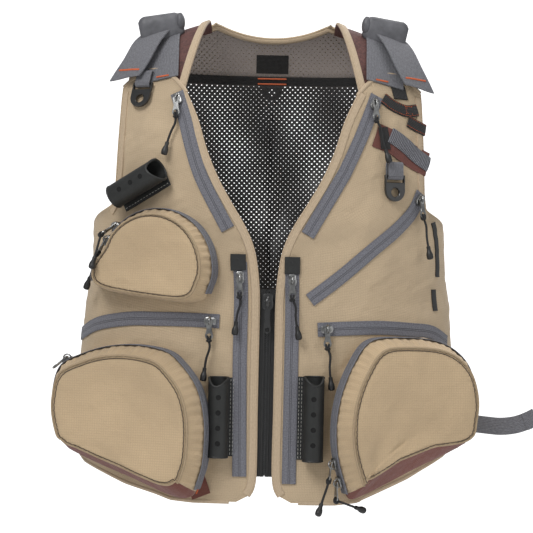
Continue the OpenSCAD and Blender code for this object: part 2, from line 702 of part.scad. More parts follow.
// Gap between a pocket's edge and a slider's plate, wider than on the flat, because the wall leans
arc_gap = 1.5;
function radial(stop) = pocket_u(stop[0]) * cos(stop[1]) + [0, 0, sin(stop[1])];
function arc_at(stop, lift) = pocket_at(stop[0], stop[0][2], 0) + radial(stop) * (stop[0][3] + lift);
function way(stop) = pocket_u(stop[0]) * stop[2][0] + [0, 0, stop[2][1]]
    + pocket_w(stop[0]) * stop[2][2];
function arc_frame(stop) =
    pull_frame(arc_at(stop, arc_gap + slider_h + pin_h), way(stop), radial(stop));

module arc_slider(stop) {
    w = pocket_w(stop[0]);
    color("silver") {
        place(arc_at(stop, arc_gap), w, cross(radial(stop), w), radial(stop)) slider_plate();
        in_frame(arc_frame(stop)) bridge();
    }
}
module arc_pull(stop) { in_frame(arc_frame(stop)) pull(stop[3], stop[4], stop[5]); }
module arc_cord(stop) { in_frame(arc_frame(stop)) cord(stop[3], stop[4], stop[5]); }

module right_pocket_slider() { arc_slider(right_pocket_stop); }
module right_pocket_pull() { color("silver") in_frame(arc_frame(right_pocket_stop)) tab(); }
module left_pocket_slider() { arc_slider(left_pocket_stop); }
module left_pocket_pull() { arc_pull(left_pocket_stop); }
module left_pocket_cord() { arc_cord(left_pocket_stop); }
module left_end_slider() { arc_slider(left_end_stop); }
module left_end_pull() { arc_pull(left_end_stop); }
module left_end_cord() { arc_cord(left_end_stop); }
module upper_pocket_slider() { arc_slider(upper_pocket_stop); }
module upper_pocket_pull() { arc_pull(upper_pocket_stop); }
module upper_pocket_cord() { arc_cord(upper_pocket_stop); }
module upper_end_slider() { arc_slider(upper_end_stop); }
module upper_end_pull() { arc_pull(upper_end_stop); }
module upper_end_cord() { arc_cord(upper_end_stop); }

// ---------- tool tubes, trim and side straps ----------
tube_wall = 1.8;
// A tube open at both ends with vent holes in its outer side, along the y of its frame
module tool_tube(length, r, flange_side) {
    translate([0, 0, r]) rotate([90, 0, 0]) difference() {
        cylinder(r = r, h = length, center = true, $fn = 48);
        cylinder(r = r - tube_wall, h = length + 2, center = true, $fn = 48);
    }
    translate([flange_side > 0 ? r * 0.3 : -r * 0.3 - 14, -length / 2, 0.02 * r])
        cube([14, length, 1.6]);
}
right_tube = [-51, -448, 86];
left_tube = [52, -448, 91];
upper_tube = [-138, -195, 64];
upper_tube_rise = 28;

module tool_tubes() {
    color(black) {
        for (t = [right_tube, left_tube])
            on_surface(front(t[0], t[1], tape_o + 0.3), [0, -1, 0])
                tool_tube(t[2], 11.5, -sign(t[0]));
        on_surface(front(upper_tube[0], upper_tube[1], shell_t + 2.5),
            front_normal(upper_tube[0], upper_tube[1]))
            rotate([0, 0, upper_tube_rise - 90]) tool_tube(upper_tube[2], tube_r, 1);
    }
}

module chest_trim() {
    color(brown) front_band([[114, -136], [135, -145], [155, -157], [172, -166]], 28, tape_o, 1.2);
    color(grey) front_band([[129, -136], [146, -146], [160, -157], [172, -166]], 18, trim_o, 1.6);
    color(black) {
        front_band([[121, -128], [123, -140], [124, -152]], 12, trim_o, 1);
        front_band([[122, -95], [134, -103], [148, -108], [160, -106]], 14, tape_o, 2);
        front_band([[150, -119], [160, -124], [169, -128]], 14, tape_o, 2);
        front_band([[140, -82], [141, -88], [142, -94]], 16, tape_o, 2);
        front_band([[-33, -272], [-33, -279], [-32.5, -287]], 18, trim_o, 1.4);
        front_band([[26, -274], [26, -281], [26, -290]], 18, trim_o, 1.4);
    }
}

// Waist webbing on the body from each front to the back, a ladder lock on it, and its loose end
side_z = -462;
side_strap_w = 25;
side_turns = [98, 104, 112, 120, 130, 142];
// The left end stands away from the body: x, y, z by hand
side_tail = [[214, 24, -462], [224, 12, -461], [238, 4, -459], [254, 0, -460], [270, -2, -461],
    [286, -4, -459], [300, -6, -454], [311, -8, -448]];
module side_straps() {
    color(grey) {
        for (m = [0, 1]) mirror([m, 0, 0])
            ribbon([for (a = side_turns) skin(a, side_z)], [for (a = side_turns) skin_normal(a, side_z)],
                side_strap_w, 4.5, 4.5 + webbing_t);
        ribbon(side_tail, [for (p = side_tail) [0.15, -1, 0.1]], 20, 0, webbing_t);
    }
}

right_front_panel();
left_front_panel();
back_panels();
back_mesh();
edge_bindings();
shoulder_yokes();
shoulder_straps();
strap_tails();
strap_locks();
right_d_ring();
left_d_ring();
rear_d_ring();
zip_tapes();
front_zip();
right_pocket_base();
left_pocket_base();
upper_pocket_base();
right_pocket_lid();
left_pocket_lid();
upper_pocket_lid();
tool_tubes();
chest_trim();
side_straps();
front_slider();
front_pull();
right_chest_slider();
right_chest_pull();
right_chest_cord();
left_chest_slider();
left_chest_pull();
left_chest_cord();
right_edge_slider();
right_edge_pull();
right_edge_cord();
left_edge_slider();
left_edge_pull();
left_edge_cord();
right_slash_slider();
right_slash_pull();
right_slash_cord();
left_slash_slider();
left_slash_pull();
left_slash_cord();
left_slant_slider();
left_slant_pull();
left_slant_cord();
right_pocket_slider();
right_pocket_pull();
left_pocket_slider();
left_pocket_pull();
left_pocket_cord();
left_end_slider();
left_end_pull();
left_end_cord();
upper_pocket_slider();
upper_pocket_pull();
upper_pocket_cord();
upper_end_slider();
upper_end_pull();
upper_end_cord();
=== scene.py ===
"""Zip-front fishing vest: its cloth, zips, cords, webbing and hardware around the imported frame.

Lengths are millimetres until a mesh is made, +Z up, the front towards -Y, the wearer's left at +X.
The body of the vest is one surface. Each layer of cloth lies at its own lift over that surface.
"""
import math
from collections import namedtuple

import bpy
import numpy as np
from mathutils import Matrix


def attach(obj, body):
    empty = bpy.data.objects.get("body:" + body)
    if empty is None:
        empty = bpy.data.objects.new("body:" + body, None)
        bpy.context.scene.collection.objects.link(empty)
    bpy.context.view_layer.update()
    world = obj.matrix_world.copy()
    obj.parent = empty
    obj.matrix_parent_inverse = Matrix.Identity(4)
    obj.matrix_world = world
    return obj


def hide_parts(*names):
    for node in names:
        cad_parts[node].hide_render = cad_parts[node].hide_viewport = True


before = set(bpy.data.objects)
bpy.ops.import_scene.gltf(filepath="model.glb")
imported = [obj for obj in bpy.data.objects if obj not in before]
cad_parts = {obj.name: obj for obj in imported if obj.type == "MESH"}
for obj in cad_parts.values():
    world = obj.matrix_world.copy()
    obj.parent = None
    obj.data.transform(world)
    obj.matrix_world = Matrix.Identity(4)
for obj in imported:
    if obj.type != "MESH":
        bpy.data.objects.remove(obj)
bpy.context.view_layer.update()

MM = 0.001

# ---------- stage ----------
# The camera is level with the middle of the vest and leans a little to the wearer's left
camera_distance = 2.6
camera_height = -0.283
camera_side = -0.0021
camera_lean = math.radians(-1.2)
camera_lens = 152.7


def make_camera():
    """Long lens straight in front of the vest."""
    data = bpy.data.cameras.new("camera")
    data.lens = camera_lens
    data.sensor_width = 36.0
    data.clip_end = 20.0
    camera = bpy.data.objects.new("camera", data)
    camera.location = (camera_side, -camera_distance, camera_height)
    camera.rotation_euler = (math.radians(90), camera_lean, 0)
    bpy.context.scene.collection.objects.link(camera)
    bpy.context.scene.camera = camera


def soft_light(name, at, aim, size, power):
    """Square lamp at a point, turned towards another."""
    data = bpy.data.lights.new(name, "AREA")
    data.shape = "SQUARE"
    data.size = size
    data.energy = power
    lamp = bpy.data.objects.new(name, data)
    lamp.location = at
    way = np.array(aim, float) - np.array(at, float)
    lamp.rotation_euler = (
        math.acos(-way[2] / np.linalg.norm(way)), 0, math.atan2(way[1], way[0]) - math.pi / 2)
    bpy.context.scene.collection.objects.link(lamp)


def make_lights():
    """Key lamp from above on the right-hand side, a weak fill, a top and a back lamp, and an even room."""
    soft_light("key_light", (-1.0, -1.9, 1.5), (0, 0, -0.28), 1.1, 42)
    soft_light("fill_light", (1.9, -1.9, 0.2), (0, 0, -0.3), 1.8, 12)
    soft_light("top_light", (0.2, 0.1, 1.7), (0, 0, -0.2), 1.2, 14)
    soft_light("back_light", (0.6, 1.1, 0.7), (0, 0, -0.3), 1.0, 8)
    world = bpy.data.worlds.new("soft_room")
    world.use_nodes = True
    world.node_tree.nodes["Background"].inputs["Color"].default_value = (0.97, 0.985, 1, 1)
    world.node_tree.nodes["Background"].inputs["Strength"].default_value = 0.4
    bpy.context.scene.world = world
    bpy.context.scene.view_settings.view_transform = "Standard"


# ---------- small helpers ----------
def unit(v):
    """Vectors divided by their length."""
    return v / np.maximum(np.linalg.norm(v, axis=-1, keepdims=True), 1e-9)


def mix(a, b, t):
    """Straight line from a to b."""
    return a * (1 - t) + b * t


def ease(t):
    """Soft step from 0 to 1: three squares less two cubes."""
    c = np.clip(t, 0, 1)
    return c * c * (3 - 2 * c)


def table(z, pairs):
    """Value looked up along pairs of place and value, in straight steps."""
    pairs = np.array(sorted(pairs), float)
    return np.interp(z, pairs[:, 0], pairs[:, 1])


def curve(points, steps=8, closed=False):
    """Catmull-Rom curve through the points, with so many steps between two of them."""
    p = np.array(points, float)
    n = len(p)
    i = np.arange(n if closed else n - 1)
    if closed:
        a, b, c, d = p[(i - 1) % n], p[i], p[(i + 1) % n], p[(i + 2) % n]
    else:
        a, b, c, d = p[np.maximum(i - 1, 0)], p[i], p[i + 1], p[np.minimum(i + 2, n - 1)]
    t = (np.arange(steps) / steps)[None, :, None]
    a, b, c, d = (q[:, None, :] for q in (a, b, c, d))
    q = 0.5 * (2 * b + (c - a) * t + (2 * a - 5 * b + 4 * c - d) * t ** 2
               + (3 * b - a - 3 * c + d) * t ** 3)
    q = q.reshape(-1, p.shape[1])
    return q if closed else np.vstack([q, p[-1]])


def run_of(path):
    """Distance along a path at each of its points."""
    return np.concatenate([[0], np.cumsum(np.linalg.norm(np.diff(path, axis=0), axis=1))])


def even(path, step, *with_it):
    """Path resampled at even steps, and the other rows resampled with it."""
    s = run_of(path)
    t = np.linspace(0, s[-1], max(2, int(round(s[-1] / step)) + 1))
    out = [np.stack([np.interp(t, s, r[:, k]) for k in range(r.shape[1])], axis=1)
           for r in (path, *with_it)]
    return out if with_it else out[0]


def along(path, closed=False):
    """Direction of a path at each point."""
    if closed:
        return unit(np.roll(path, -1, axis=0) - np.roll(path, 1, axis=0))
    return unit(np.gradient(path, axis=0))


# ---------- the body's surface ----------
power = 2.4
hip_w, chest_w = 212.0, 197.0
depth_front, depth_back = 128.0, 118.0
dome_h, shoulder_slope, neck_half = 200.0, 0.33, 62.0
waist_z, waist_run = -420.0, 200.0
shell_t, tape_t, webbing_t, lie = 2.0, 1.2, 1.6, 0.5
tape_o = shell_t + lie
trim_o = tape_o + tape_t + lie
mesh_t = 1.2
back_o = mesh_t + lie


def half_width(z):
    """Half width of the body, which eases from the hip's to the chest's above the waist."""
    return hip_w - (hip_w - chest_w) * ease((z - waist_z) / waist_run)


def top_z(x):
    """Ridge of the shoulders: level over the neck, then falling in a straight slope."""
    return -shoulder_slope * np.maximum(0, np.abs(x) - neck_half)


def dome(x, z):
    """Share of the full depth, which closes over the shoulder as a quarter of a superellipse."""
    t = np.clip((z - top_z(x) + dome_h) / dome_h, 0, 1)
    return (1 - t ** power) ** (1 / power)


def skin(phi, z):
    """Superellipse round the body at each level, closed over the shoulders by a second one."""
    a = np.radians(phi)
    s, c = np.sin(a), np.cos(a)
    z = z + 0 * s
    x = half_width(z) * np.sign(s) * np.abs(s) ** (2 / power)
    d = np.where(c > 0, depth_front, depth_back)
    return np.stack([x, -d * np.sign(c) * np.abs(c) ** (2 / power) * dome(x, z), z], axis=-1)


def skin_normal(phi, z):
    """Outward normal, from steps of half a degree and one millimetre."""
    return unit(np.cross(skin(phi + 0.5, z) - skin(phi - 0.5, z), skin(phi, z + 1) - skin(phi, z - 1)))


def angle_of(x, z):
    """Angle round the body, from the middle of the front, at which a level has that x."""
    return np.degrees(np.arcsin(
        np.sign(x) * np.minimum(1, np.abs(x) / half_width(z)) ** (power / 2)))


def front_normal(x, z):
    return skin_normal(angle_of(x, z), z)


def back_normal(x, z):
    return skin_normal(180 - angle_of(x, z), z)


def front(x, z, lift=0.0):
    """Point of the front at that x and level, lifted along the normal."""
    return skin(angle_of(x, z), z) + front_normal(x, z) * np.asarray(lift)[..., None]


def back(x, z, lift=0.0):
    """The same on the back."""
    return skin(180 - angle_of(x, z), z) + back_normal(x, z) * np.asarray(lift)[..., None]


def over_point(x, turn):
    """Section of the shoulder at one x: half a superellipse from front to back, by its turn."""
    d = np.where(turn < 0, depth_front, depth_back)
    side = (1 - np.minimum(1, np.abs(x) / chest_w) ** power) ** (1 / power)
    a = np.radians(turn)
    return np.stack([
        x + 0 * a, np.sign(turn) * d * side * np.abs(np.sin(a)) ** (2 / power),
        top_z(x) - dome_h * (1 - np.cos(a) ** (2 / power))], axis=-1)


def over_normal(x, turn):
    return unit(np.cross(over_point(x + 1, turn) - over_point(x - 1, turn),
                         over_point(x, turn + 1.5) - over_point(x, turn - 1.5)))


def over(x, turn, lift=0.0):
    """Point at a turn over the shoulder: -90 in front, 0 on the ridge, 90 behind."""
    return over_point(x, turn) + over_normal(x, turn) * np.asarray(lift)[..., None]


# A frame is a point with three directions: level, up and outwards
def point(x, z, lift):
    """One point of the front, lifted along the normal."""
    return front(np.array(float(x)), np.array(float(z)), np.array(float(lift)))


def surface_frame(at, normal):
    level = unit(np.cross([0, 0, 1], normal))
    return [at, level, np.cross(normal, level), normal]


def in_frame(f, points):
    """Points given by a frame's three directions, in the vest's millimetres."""
    return f[0] + np.asarray(points, float) @ np.array(f[1:])


def round_turn(n):
    """Even angles of a full turn."""
    return np.linspace(0, 2 * np.pi, n, endpoint=False)


# ---------- meshes ----------
def grid_quads(rows, cols, wrap=False):
    """Squares of a grid of points, row by row; the last column may meet the first."""
    r, c = np.meshgrid(np.arange(rows - 1), np.arange(cols if wrap else cols - 1), indexing="ij")
    d = (c + 1) % cols
    return np.stack([r * cols + c, r * cols + d, (r + 1) * cols + d, (r + 1) * cols + c],
                    axis=-1).reshape(-1, 4)


def cloth_uv(grid):
    """Distance across and along a sheet, in metres, so that a weave keeps its size."""
    across = np.linalg.norm(np.diff(grid, axis=1), axis=2)
    u = np.concatenate([np.zeros((len(grid), 1)), np.cumsum(across, axis=1)], axis=1)
    length = np.linalg.norm(np.diff(grid, axis=0), axis=2).mean(axis=1)
    v = np.concatenate([[0], np.cumsum(length)])[:, None] + 0 * u
    return np.stack([u - u.mean(axis=1, keepdims=True), v], axis=-1) * MM


def slab(outer, inner, uv=None, wrap=False):
    """Closed slab between two sheets of the same grid, with a rim between their edges."""
    rows, cols = outer.shape[:2]
    n = rows * cols
    quads = grid_quads(rows, cols, wrap)
    if wrap:
        rims = [np.arange(cols), (rows - 1) * cols + np.arange(cols)[::-1]]
    else:
        rims = [np.concatenate([
            np.arange(cols - 1), np.arange(rows - 1) * cols + cols - 1,
            (rows - 1) * cols + np.arange(cols - 1, 0, -1), np.arange(rows - 1, 0, -1) * cols])]
    sides = [np.stack([r, r + n, np.roll(r, -1) + n, np.roll(r, -1)], axis=1) for r in rims]
    uv = cloth_uv(outer) if uv is None else uv
    return [np.vstack([outer.reshape(-1, 3), inner.reshape(-1, 3)]),
            np.vstack([quads, quads[:, ::-1] + n] + sides), None,
            np.vstack([uv.reshape(-1, 2)] * 2)]


def tube(grid, closed=False, uv=None):
    """Closed skin through rings of points: ends are fans, unless the last ring meets the first."""
    rows, cols = grid.shape[:2]
    points = grid.reshape(-1, 3)
    flat = (uv if uv is not None else np.stack(np.broadcast_arrays(
        run_of(np.vstack([grid[0], grid[0, :1]]))[None, :cols],
        run_of(grid.mean(axis=1))[:, None]), axis=-1) * MM).reshape(-1, 2)
    if closed:
        quads = grid_quads(rows + 1, cols, True) % (rows * cols)
        return [points, quads, None, flat]
    k = np.arange(cols)
    last = (rows - 1) * cols
    tris = np.vstack([
        np.stack([0 * k + rows * cols, (k + 1) % cols, k], axis=1),
        np.stack([0 * k + rows * cols + 1, last + k, last + (k + 1) % cols], axis=1)])
    return [np.vstack([points, grid[0].mean(axis=0), grid[-1].mean(axis=0)]),
            grid_quads(rows, cols, True), tris, np.vstack([flat, flat[0], flat[-1]])]


def carry(profile, path, up, closed=False, scale=None):
    """Profile of across and up carried along a path, upright to the surface under it."""
    t = along(path, closed)
    side = unit(np.cross(t, up))
    up = np.cross(side, t)
    profile = np.array(profile, float)
    if scale is not None:
        profile = profile[None] * np.asarray(scale)[:, None, None]
        across, high = profile[..., 0], profile[..., 1]
    else:
        across, high = (np.broadcast_to(profile[:, k], (len(path), len(profile))) for k in (0, 1))
    grid = path[:, None] + side[:, None] * across[..., None] + up[:, None] * high[..., None]
    run = run_of(path)[:, None] + 0 * across
    return tube(grid, closed, np.stack([across, run], axis=-1) * MM)


def round_profile(r, sides=10, squash=1.0):
    """Circle or ellipse of so many sides."""
    a = np.arange(sides) * 2 * np.pi / sides
    return np.stack([np.cos(a) * r, np.sin(a) * r * squash], axis=1)


def strip_profile(width, low, thick, steps=8, crown=0.0):
    """Flat strip with rounded edges, a little higher in its middle."""
    s = np.linspace(-1, 1, steps + 1)
    top = np.stack([s * (width / 2 - 0.3), low + thick + crown * (1 - s ** 2)], axis=1)
    edge = np.array([[width / 2, low + thick / 2], [width / 2 - 0.3, low]])
    return np.vstack([top, edge, [[-width / 2 + 0.3, low], [-width / 2, low + thick / 2]]])


def volume(points, quads, tris):
    """Six times the volume inside a closed chunk: the sum of its faces' triple products."""
    a = np.vstack([quads[:, :3], quads[:, [0, 2, 3]]] + ([tris] if tris is not None else []))
    p, q, r = (points[a[:, k]] for k in range(3))
    return np.einsum("ij,ij->i", p, np.cross(q, r)).sum()


def piece(name, chunks, material, body, replaces=(), sharp=40):
    """One object from closed chunks of points, quads, triangles and UVs, with faces outwards."""
    points, quads, tris, uvs, n = [], [], [], [], 0
    for p, q, t, uv in chunks:
        turned = volume(p - p.mean(axis=0), q, t) < 0
        quads.append((q[:, ::-1] if turned else q) + n)
        if t is not None:
            tris.append((t[:, ::-1] if turned else t) + n)
        points.append(p)
        uvs.append(uv)
        n += len(p)
    points = np.vstack(points) * MM
    quads = np.vstack(quads)
    tris = np.vstack(tris) if tris else np.zeros((0, 3), int)
    uvs = np.vstack(uvs)
    mesh = bpy.data.meshes.new(name)
    corners = np.concatenate([quads.ravel(), tris.ravel()])
    starts = np.concatenate([np.arange(len(quads)) * 4, len(quads) * 4 + np.arange(len(tris)) * 3])
    mesh.vertices.add(len(points))
    mesh.vertices.foreach_set("co", points.ravel())
    mesh.loops.add(len(corners))
    mesh.loops.foreach_set("vertex_index", corners)
    mesh.polygons.add(len(starts))
    mesh.polygons.foreach_set("loop_start", starts)
    mesh.polygons.foreach_set("use_smooth", np.ones(len(starts), bool))
    mesh.update(calc_edges=True)
    layer = mesh.uv_layers.new(name="cloth")
    layer.data.foreach_set("uv", uvs[corners].ravel())
    mesh.validate()
    mesh.set_sharp_from_angle(angle=math.radians(sharp))
    mesh.materials.append(material)
    made = bpy.data.objects.new(name, mesh)
    bpy.context.scene.collection.objects.link(made)
    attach(made, body)
    if replaces:
        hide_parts(*replaces)
    return made


def stitches(path, up, offset, length=2.4, gap=1.3, thick=0.32):
    """Row of short threads beside a path: each a tube of three rings of four points."""
    side = unit(np.cross(along(path), up))
    line, normal = even(path + side * offset + up * thick * 0.4, length + gap, up)
    normal = unit(normal)
    t = along(line)
    side = np.cross(t, normal)
    n = len(line)
    s = np.array([-0.5, 0, 0.5])[None, :, None, None]
    fat = np.array([0.55, 1.0, 0.55])[None, :, None, None] * thick
    a = (np.arange(4) * np.pi / 2 + np.pi / 4)[None, None, :, None]
    rings = (line[:, None, None] + t[:, None, None] * s * length
             + side[:, None, None] * np.cos(a) * fat + normal[:, None, None] * np.sin(a) * fat)
    base = (np.arange(n) * 12)[:, None, None]
    k = np.arange(4)
    ring = np.stack([k, (k + 1) % 4, (k + 1) % 4 + 4, k + 4], axis=1)
    ends = np.array([[3, 2, 1, 0], [8, 9, 10, 11]])
    quads = np.vstack([ring, ring + 4, ends])[None] + base
    return [rings.reshape(-1, 3), quads.reshape(-1, 4), None, np.zeros((n * 12, 2))]


def bar_tack(centre, way, up, length, width=2.2, high=0.7):
    """Dense bar of thread."""
    path = centre + np.linspace(-0.5, 0.5, 5)[:, None] * unit(way) * length
    return carry(strip_profile(width, -0.2, high, 4, 0.3), path, np.tile(up, (5, 1)))


# ---------- materials ----------
class Look:
    """A material whose colour, roughness and relief are drawn by nodes."""

    def __init__(self, name, rough, metal=0.0, coat=0.0, sheen=0.0):
        self.made = bpy.data.materials.new(name)
        self.made.use_nodes = True
        self.tree = self.made.node_tree
        self.shader = self.tree.nodes["Principled BSDF"]
        self.shader.inputs["Roughness"].default_value = rough
        self.shader.inputs["Metallic"].default_value = metal
        self.shader.inputs["Coat Weight"].default_value = coat
        self.shader.inputs["Sheen Weight"].default_value = sheen
        self.place = self.node("ShaderNodeTexCoord")
        self.high = None

    def node(self, kind, **values):
        made = self.tree.nodes.new(kind)
        for key, value in values.items():
            setattr(made, key, value)
        return made

    def join(self, a, b):
        self.tree.links.new(a, b)

    def maths(self, kind, a, b=0.0, c=0.0):
        """One sum of a Math node, of numbers or other nodes' values."""
        made = self.node("ShaderNodeMath", operation=kind)
        for k, value in enumerate((a, b, c)):
            if isinstance(value, (int, float)):
                made.inputs[k].default_value = value
            else:
                self.join(value, made.inputs[k])
        return made.outputs[0]

    def noise(self, scale, detail=2.0, stretch=(1, 1, 1), on="Object"):
        sized = self.node("ShaderNodeMapping")
        sized.inputs["Scale"].default_value = stretch
        self.join(self.place.outputs[on], sized.inputs["Vector"])
        made = self.node("ShaderNodeTexNoise")
        made.inputs["Scale"].default_value = scale
        made.inputs["Detail"].default_value = detail
        self.join(sized.outputs[0], made.inputs["Vector"])
        return made.outputs["Fac"]

    def axis(self, k, on="UV"):
        """One coordinate, in metres."""
        parts = self.node("ShaderNodeSeparateXYZ")
        self.join(self.place.outputs[on], parts.inputs[0])
        return parts.outputs[k]

    def lines(self, k, pitch, share, on="UV"):
        """1 on thin lines at that pitch in metres, 0 between them."""
        wave = self.maths("PINGPONG", self.axis(k, on), pitch / 2)
        return self.maths("LESS_THAN", wave, pitch * share / 2)

    def waves(self, k, pitch, on="UV"):
        """Sine from -1 to 1 at that pitch in metres."""
        return self.maths("SINE", self.maths("MULTIPLY", self.axis(k, on), 2 * math.pi / pitch))

    def paint(self, where, *stops):
        """Colour by a value, through stops of place and linear colour."""
        ramp = self.node("ShaderNodeValToRGB")
        while len(ramp.color_ramp.elements) < len(stops):
            ramp.color_ramp.elements.new(0.5)
        for element, (place, colour) in zip(ramp.color_ramp.elements, stops):
            element.position = place
            element.color = (*colour, 1)
        self.join(where, ramp.inputs[0])
        return ramp.outputs[0]

    def blend(self, share, a, b):
        """Colour between two, by a share."""
        made = self.node("ShaderNodeMix", data_type="RGBA")
        for socket, value in ((made.inputs[0], share), (made.inputs[6], a), (made.inputs[7], b)):
            if isinstance(value, (tuple, list)):
                socket.default_value = (*value, 1)
            elif isinstance(value, (int, float)):
                socket.default_value = value
            else:
                self.join(value, socket)
        return made.outputs[2]

    def relief(self, value, height):
        """Adds a value's relief, its height in metres."""
        bump = self.node("ShaderNodeBump")
        bump.inputs["Distance"].default_value = height
        self.join(value, bump.inputs["Height"])
        if self.high is not None:
            self.join(self.high, bump.inputs["Normal"])
        self.high = bump.outputs[0]

    def done(self, colour):
        self.join(colour, self.shader.inputs["Base Color"])
        if self.high is not None:
            self.join(self.high, self.shader.inputs["Normal"])
        return self.made


def linear(r, g, b):
    """Linear colour of a screen colour from 0 to 255."""
    c = np.array([r, g, b]) / 255
    return tuple(float(v) for v in np.where(c < 0.04045, c / 12.92, ((c + 0.055) / 1.055) ** 2.4))


def shade(colour, by):
    return tuple(c * by for c in colour)


def ripstop(name, colour, pitch=0.0027):
    """Plain weave with thicker threads in a small grid, faded unevenly."""
    look = Look(name, 0.82, sheen=0.12)
    grid = look.maths("MAXIMUM", look.lines(0, pitch, 0.2), look.lines(1, pitch, 0.2))
    base = look.paint(look.noise(14, 4), (0.3, shade(colour, 0.88)), (0.7, shade(colour, 1.1)))
    base = look.blend(look.maths("MULTIPLY", grid, 0.42), base, shade(colour, 0.7))
    fine = look.noise(1500, 1, on="UV")
    base = look.blend(0.24, base, look.paint(fine, (0.3, shade(colour, 0.6)), (0.7, shade(colour, 1.5))))
    look.relief(fine, 0.00025)
    look.relief(grid, 0.00012)
    look.relief(look.noise(42, 3), 0.0032)
    return look.done(base)


def woven(name, colour, pitch=0.0011, depth=0.0002, mottled=0.35, rough=0.78):
    """Webbing with ribs across it and threads along it."""
    look = Look(name, rough, sheen=0.1)
    rib = look.waves(1, pitch)
    thread = look.waves(0, pitch * 1.3)
    both = look.maths("MULTIPLY_ADD", rib, 0.5, look.maths("MULTIPLY", thread, 0.5))
    fine = look.noise(900, 2, (1, 0.35, 1), on="UV")
    base = look.paint(fine, (0.25, shade(colour, 1 - mottled)), (0.75, shade(colour, 1 + mottled)))
    base = look.blend(look.maths("MULTIPLY_ADD", both, 0.16, 0.16), base, shade(colour, 0.55))
    look.relief(both, depth)
    look.relief(look.noise(120, 2), 0.0006)
    return look.done(base)


def zip_tape(name, colour):
    """Twill tape with two close lines down its middle, where the coil is sewn beneath: sunken lines darkened
    with painted shade.
    """
    look = Look(name, 0.75, sheen=0.1)
    middle = look.maths("ABSOLUTE", look.axis(0))
    seam = look.maths("LESS_THAN", look.maths("ABSOLUTE", look.maths("SUBTRACT", middle, 0.0009)), 0.0003)
    twill = look.maths("SINE", look.maths("MULTIPLY", look.maths(
        "ADD", look.axis(0), look.axis(1)), 2 * math.pi / 0.0009))
    base = look.paint(look.noise(700, 2, on="UV"), (0.3, shade(colour, 0.7)), (0.7, shade(colour, 1.3)))
    # The two sewn lines sink into grooves and are darkened there with painted shade
    base = look.blend(look.maths("MULTIPLY", seam, 0.75), base, shade(colour, 0.25))
    look.relief(twill, 0.00008)
    look.relief(look.maths("MULTIPLY", seam, -1.0), 0.0004)
    return look.done(base)


def elastic(name, colour):
    """Elastic with ribs across it: painted shade between the ribs and painted highlight on their tops,
    following the relief.
    """
    look = Look(name, 0.7)
    rib = look.waves(1, 0.0021)
    # Colour follows the ribs' relief: painted shade in the grooves, painted highlight on the tops
    base = look.paint(look.maths("MULTIPLY_ADD", rib, 0.5, 0.5),
                      (0.1, shade(colour, 0.45)), (0.9, shade(colour, 1.25)))
    look.relief(rib, 0.0006)
    look.relief(look.noise(800, 1, on="UV"), 0.0002)
    return look.done(base)


def speckled(name, colour, red, rough=0.8):
    """Dark band covered with short rows of coloured stitches."""
    look = Look(name, rough)
    dots = look.maths("MULTIPLY", look.lines(0, 0.0021, 0.55), look.lines(1, 0.0034, 0.6))
    patch = look.maths("GREATER_THAN", look.noise(160, 2, on="UV"), 0.5)
    base = look.paint(look.noise(300, 3), (0.3, shade(colour, 0.7)), (0.7, shade(colour, 1.35)))
    base = look.blend(look.maths("MULTIPLY", look.maths("MULTIPLY", dots, patch), 0.75), base, red)
    look.relief(dots, 0.0003)
    return look.done(base)


def nickel(name):
    """Nickel-plated metal, unevenly dulled."""
    look = Look(name, 0.3, metal=1.0)
    base = look.paint(look.noise(160, 3), (0.3, linear(112, 112, 112)), (0.75, linear(172, 172, 170)))
    look.relief(look.noise(900, 2), 0.00004)
    return look.done(base)


def moulded(name, colour, rough, grain, coat=0.0):
    """Moulded plastic, rubber or painted metal with a fine grain."""
    look = Look(name, rough, coat=coat)
    base = look.paint(look.noise(90, 3), (0.3, shade(colour, 0.75)), (0.75, shade(colour, 1.35)))
    look.relief(look.noise(1800, 2), grain)
    look.relief(look.noise(160, 2), grain * 4)
    return look.done(base)


def braid(name, colour):
    """Cord of plaited threads: two crossed turns of lines round it, with painted shade between the strands
    and painted highlight on their tops.
    """
    look = Look(name, 0.6)
    a = look.maths("SINE", look.maths("MULTIPLY", look.maths("ADD", look.axis(0), look.axis(1)), 5200))
    b = look.maths("SINE", look.maths("MULTIPLY", look.maths("SUBTRACT", look.axis(0), look.axis(1)), 5200))
    both = look.maths("MAXIMUM", a, b)
    # Colour follows the strands' relief: painted shade in the grooves, painted highlight on the tops
    base = look.paint(look.maths("MULTIPLY_ADD", both, 0.5, 0.5),
                      (0.2, shade(colour, 0.5)), (0.9, shade(colour, 1.7)))
    look.relief(both, 0.00018)
    return look.done(base)


def netting(name):
    """Knitted net: black below, brown grey where it lies over the yoke."""
    look = Look(name, 0.42)
    level = look.maths("MULTIPLY_ADD", look.axis(2, "Object"), 50.0, 3.5)
    fine = look.noise(1400, 2)
    low = look.paint(fine, (0.3, linear(22, 22, 23)), (0.75, linear(52, 51, 52)))
    up = look.paint(fine, (0.3, linear(132, 122, 117)), (0.75, linear(170, 160, 154)))
    look.relief(fine, 0.0002)
    share = look.node("ShaderNodeClamp")
    look.join(level, share.inputs[0])
    return look.done(look.blend(share.outputs[0], low, up))


def thread(name, colour):
    """Sewing thread, mottled."""
    look = Look(name, 0.55)
    base = look.paint(look.noise(1500, 1), (0.3, shade(colour, 0.7)), (0.7, shade(colour, 1.2)))
    return look.done(base)


def floor_look():
    look = Look("plain_pale_floor", 0.9)
    base = look.paint(look.noise(3, 2), (0.3, (0.93, 0.93, 0.93)), (0.7, (0.95, 0.95, 0.95)))
    return look.done(base)


